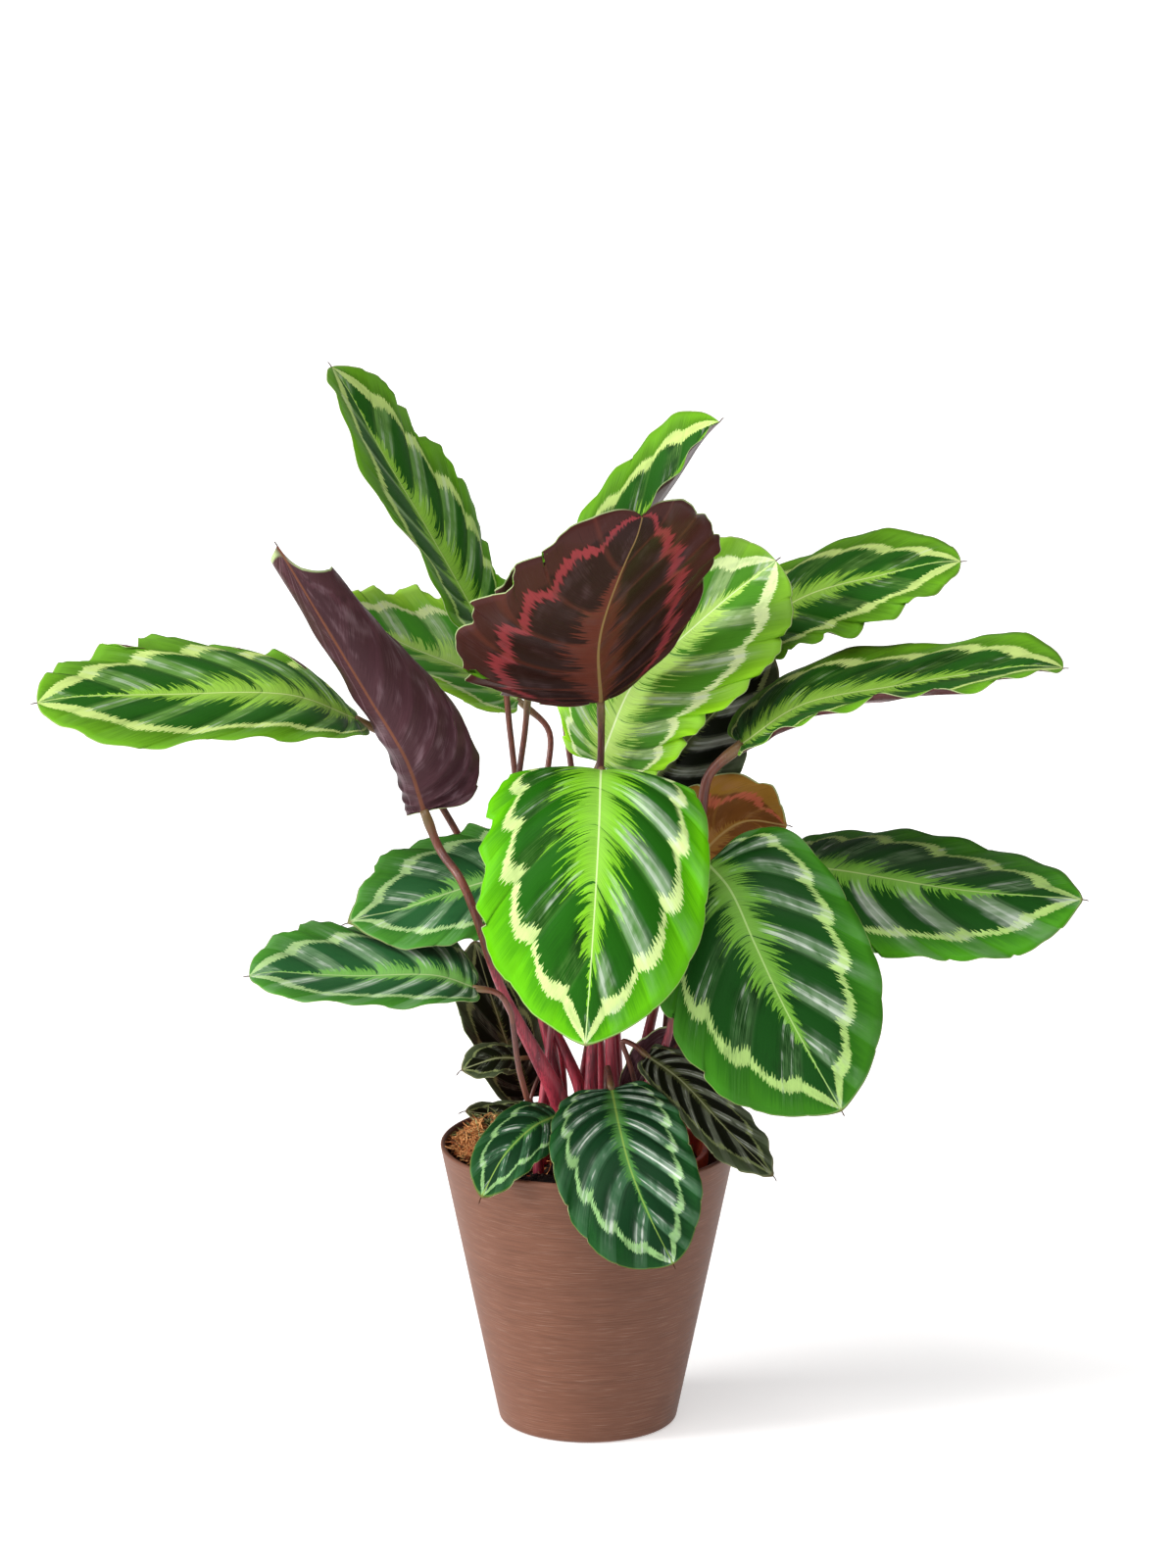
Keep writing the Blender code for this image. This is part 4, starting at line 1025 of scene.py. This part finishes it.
def soil_height(x, y):
    away = hypot(x - MOUND_PLACE[0], y - MOUND_PLACE[1])
    mound = MOUND_HEIGHT * hill(away, MOUND_SPREAD)
    crown = CROWN_HEIGHT * hill(hypot(x, y), CROWN_SPREAD)
    spot = Vector((x, y, 0))
    rough = 1 + MOUND_ROUGHNESS * hill(away, ROUGH_SPREAD)
    clods = sum(noise.noise(spot * bumps) * height for bumps, height in CLODS) * rough * MM
    grit = noise.noise(spot * GRIT[0]) * GRIT[1] * MM
    return SOIL_TOP + mound + crown + clods + grit


def fine_soil():
    edge = nursery_inside(SOIL_TOP) - GAP
    low = POT_FLOOR + NURSERY_WALL + 2 * GAP
    verts = [(0, 0, soil_height(0, 0))]
    for ring in range(1, SOIL_RINGS + 1):
        most = NURSERY_TOP - BELOW_RIM if ring == SOIL_RINGS else inf
        verts += [(x, y, min(soil_height(x, y), most))
                  for x, y in around(edge * ring / SOIL_RINGS, SOIL_SIDES)]
    low_edge = nursery_inside(low) - GAP - PLUG_EASE
    verts += [(x, y, low) for x, y in around(low_edge, SOIL_SIDES)]
    faces = [(0, 1 + k, 1 + (k + 1) % SOIL_SIDES) for k in range(SOIL_SIDES)]
    faces += [(a, d, c, b) for a, b, c, d in wrapped(1, SOIL_RINGS, SOIL_SIDES)]
    faces.append(tuple(range((SOIL_RINGS + 1) * SOIL_SIDES, SOIL_RINGS * SOIL_SIDES, -1)))
    mesh = piece("soil_plug", verts, faces, [earth()], "soil")
    mesh.set_sharp_from_angle(angle=SOIL_SHARP)


def chip(mesh, spot, size, pick):
    """A bark chip: a flattened ball with uneven corners, turned and tilted."""
    made = bmesh.ops.create_icosphere(mesh, subdivisions=1, radius=1.0)
    turn = Matrix.Rotation(pick.uniform(0, ANY_TURN), 3, "Z")
    tilt = Matrix.Rotation(pick.uniform(-CHIP_TILT, CHIP_TILT), 3, "X")
    shape = Matrix.Diagonal((size * pick.uniform(0.8, 1.7), size * pick.uniform(0.5, 0.9),
                             size * pick.uniform(0.25, 0.5)))
    for vert in made["verts"]:
        vert.co = turn @ tilt @ shape @ (vert.co * pick.uniform(0.75, 1.15)) + spot


def any_way(pick, low, high):
    return Vector((pick.uniform(-1, 1), pick.uniform(-1, 1), pick.uniform(low, high)))


def fibre(mesh, spot, reach, radius, pick):
    """A curled fibre or moss strand with three sides."""
    way = any_way(pick, 0.0, 0.9).normalized()
    here = Vector(spot)
    rings = []
    for k in range(FIBRE_STEPS + 1):
        thin = radius * (1 - FIBRE_TAPER * k / FIBRE_STEPS)
        across = way.orthogonal().normalized()
        other = way.cross(across)
        turns = [THIRD_TURN * n for n in range(3)]
        rings.append([mesh.verts.new(here + (across * cos(turn) + other * sin(turn)) * thin)
                      for turn in turns])
        way = (way + any_way(pick, -1.0, 0.5) * FIBRE_CURL).normalized()
        here = here + way * reach / FIBRE_STEPS
    for low, high in zip(rings, rings[1:]):
        for n in range(3):
            mesh.faces.new((low[n], low[(n + 1) % 3], high[(n + 1) % 3], high[n]))
    mesh.faces.new(rings[0][::-1])
    mesh.faces.new(rings[-1])


def scatter(pick, heaped, place, spread):
    """A spot on the soil, for a share of them in a heap that may spill over the nursery rim."""
    while True:
        heap = pick.random() < heaped
        if heap:
            x = pick.gauss(place[0], spread[0]) * MM
            y = pick.gauss(place[1], spread[1]) * MM
        else:
            radius = STREWN_RADIUS * sqrt(pick.random())
            angle = pick.uniform(0, tau)
            x, y = radius * cos(angle), radius * sin(angle)
        away = hypot(x, y)
        from_top = hypot(x - HEAP_TOP[0], y - HEAP_TOP[1])
        mean, swing, least = TUFT_HEIGHT
        tuft = mean + swing * noise.noise(Vector((x, y, 0)) * TUFTS)
        dome = HEAP_HEIGHT * hill(from_top, HEAP_SPREAD) * max(tuft, least)
        if away < nursery_inside(SOIL_TOP) - CLEAR_OF_WALL:
            return Vector((x, y, soil_height(x, y) + heap * pick.uniform(0, 1) * dome))
        if heap and away < SPILL_RADIUS:
            return Vector((x, y, NURSERY_TOP + pick.uniform(-0.1, 1) * dome))


def bits(name, material, count, make, sizes, seed, heaped, place=(-82, 4), spread=(13, 19)):
    """Loose pieces on the soil, as one mesh. Sizes and the heap's place and spread are in mm."""
    pick = random.Random(seed)
    mesh = bmesh.new()
    for _ in range(count):
        spot = scatter(pick, heaped, place, spread)
        make(mesh, spot, *(pick.uniform(*size) * MM for size in sizes), pick)
    data = bpy.data.meshes.new(name)
    mesh.to_mesh(data)
    mesh.free()
    data.materials.append(material)
    thing = add(name, data)
    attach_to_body(thing, "root")


def soil_bits():
    bark = bits_skin("bark", "54321c", "c08850")
    moss = bits_skin("moss", "5a6a30", "b8c084", 800)
    rust = bits_skin("fibres", "a4562a", "eab070", 800)
    # The near-black of the painted shade clods.
    clod = bits_skin("dark_clods", "0c0706", "2e1e16")
    pale = bits_skin("pale_grains", "a79c86", "d8d0c0", 300)
    bits("bark_chips", bark, 900, chip, [(1.4, 4.2)], 3, 0.75, (-88, 0), (11, 17))
    bits("moss_strands", moss, 1100, fibre, [(6, 18), (0.5, 1.2)], 4, 0.85, (-68, 16), (13, 15))
    bits("rusty_fibres", rust, 1400, fibre, [(4, 14), (0.5, 1.1)], 5, 0.85, (-90, -2), (9, 16))
    bits("pale_grains", pale, 60, chip, [(0.6, 1.3)], 6, 0.3)
    # Near-black clods by the front of the nursery rim: painted shade for the shadowed gap between the
    # pots.
    bits("dark_clods", clod, 420, chip, [(1.5, 4.5)], 7, 0.9, (-36, -94), (17, 6))


# The studio.


def look_along(thing, spot, target):
    thing.location = spot
    thing.rotation_mode = "QUATERNION"
    thing.rotation_quaternion = (Vector(target) - Vector(spot)).to_track_quat("-Z", "Y")


def camera():
    data = bpy.data.cameras.new("camera")
    data.sensor_width = SENSOR
    data.lens = SENSOR * FOCAL / PHOTO_HEIGHT
    thing = add("camera", data)
    look_along(thing, EYE, (0, 0, MIDDLE_HEIGHT))
    bpy.context.scene.camera = thing


def studio():
    world = bpy.data.worlds.new("studio")
    world.use_nodes = True
    back = world.node_tree.nodes["Background"]
    back.inputs["Color"].default_value = (1, 1, 1, 1)
    back.inputs["Strength"].default_value = WORLD_LIGHT
    scene = bpy.context.scene
    scene.world = world
    scene.view_settings.view_transform = "Standard"
    for name, way, strength, width in SUNS:
        data = bpy.data.lights.new(name, "SUN")
        data.energy = strength
        data.angle = radians(width)
        look_along(add(name, data), way, (0, 0, 0))
    floor = bpy.data.meshes.new("floor")
    corners = [(x * FLOOR_HALF, y * FLOOR_HALF, FLOOR_DROP)
               for x, y in ((-1, -1), (1, -1), (1, 1), (-1, 1))]
    floor.from_pydata(corners, [], [(0, 1, 2, 3)])
    floor.materials.append(white_floor())
    add("floor", floor)


def build():
    camera()
    studio()
    upper = {name: upper_side(name) for name in UPPER}
    under = {name: underside(name) for name in UNDER}
    skin = stalk_skin()
    for leaf in LEAVES:
        fine_blade(leaf, [upper[leaf.upper], under[leaf.under]])
        fine_stalk(leaf, skin)
    fine_cover_pot()
    fine_nursery_pot()
    fine_soil()
    soil_bits()


build()
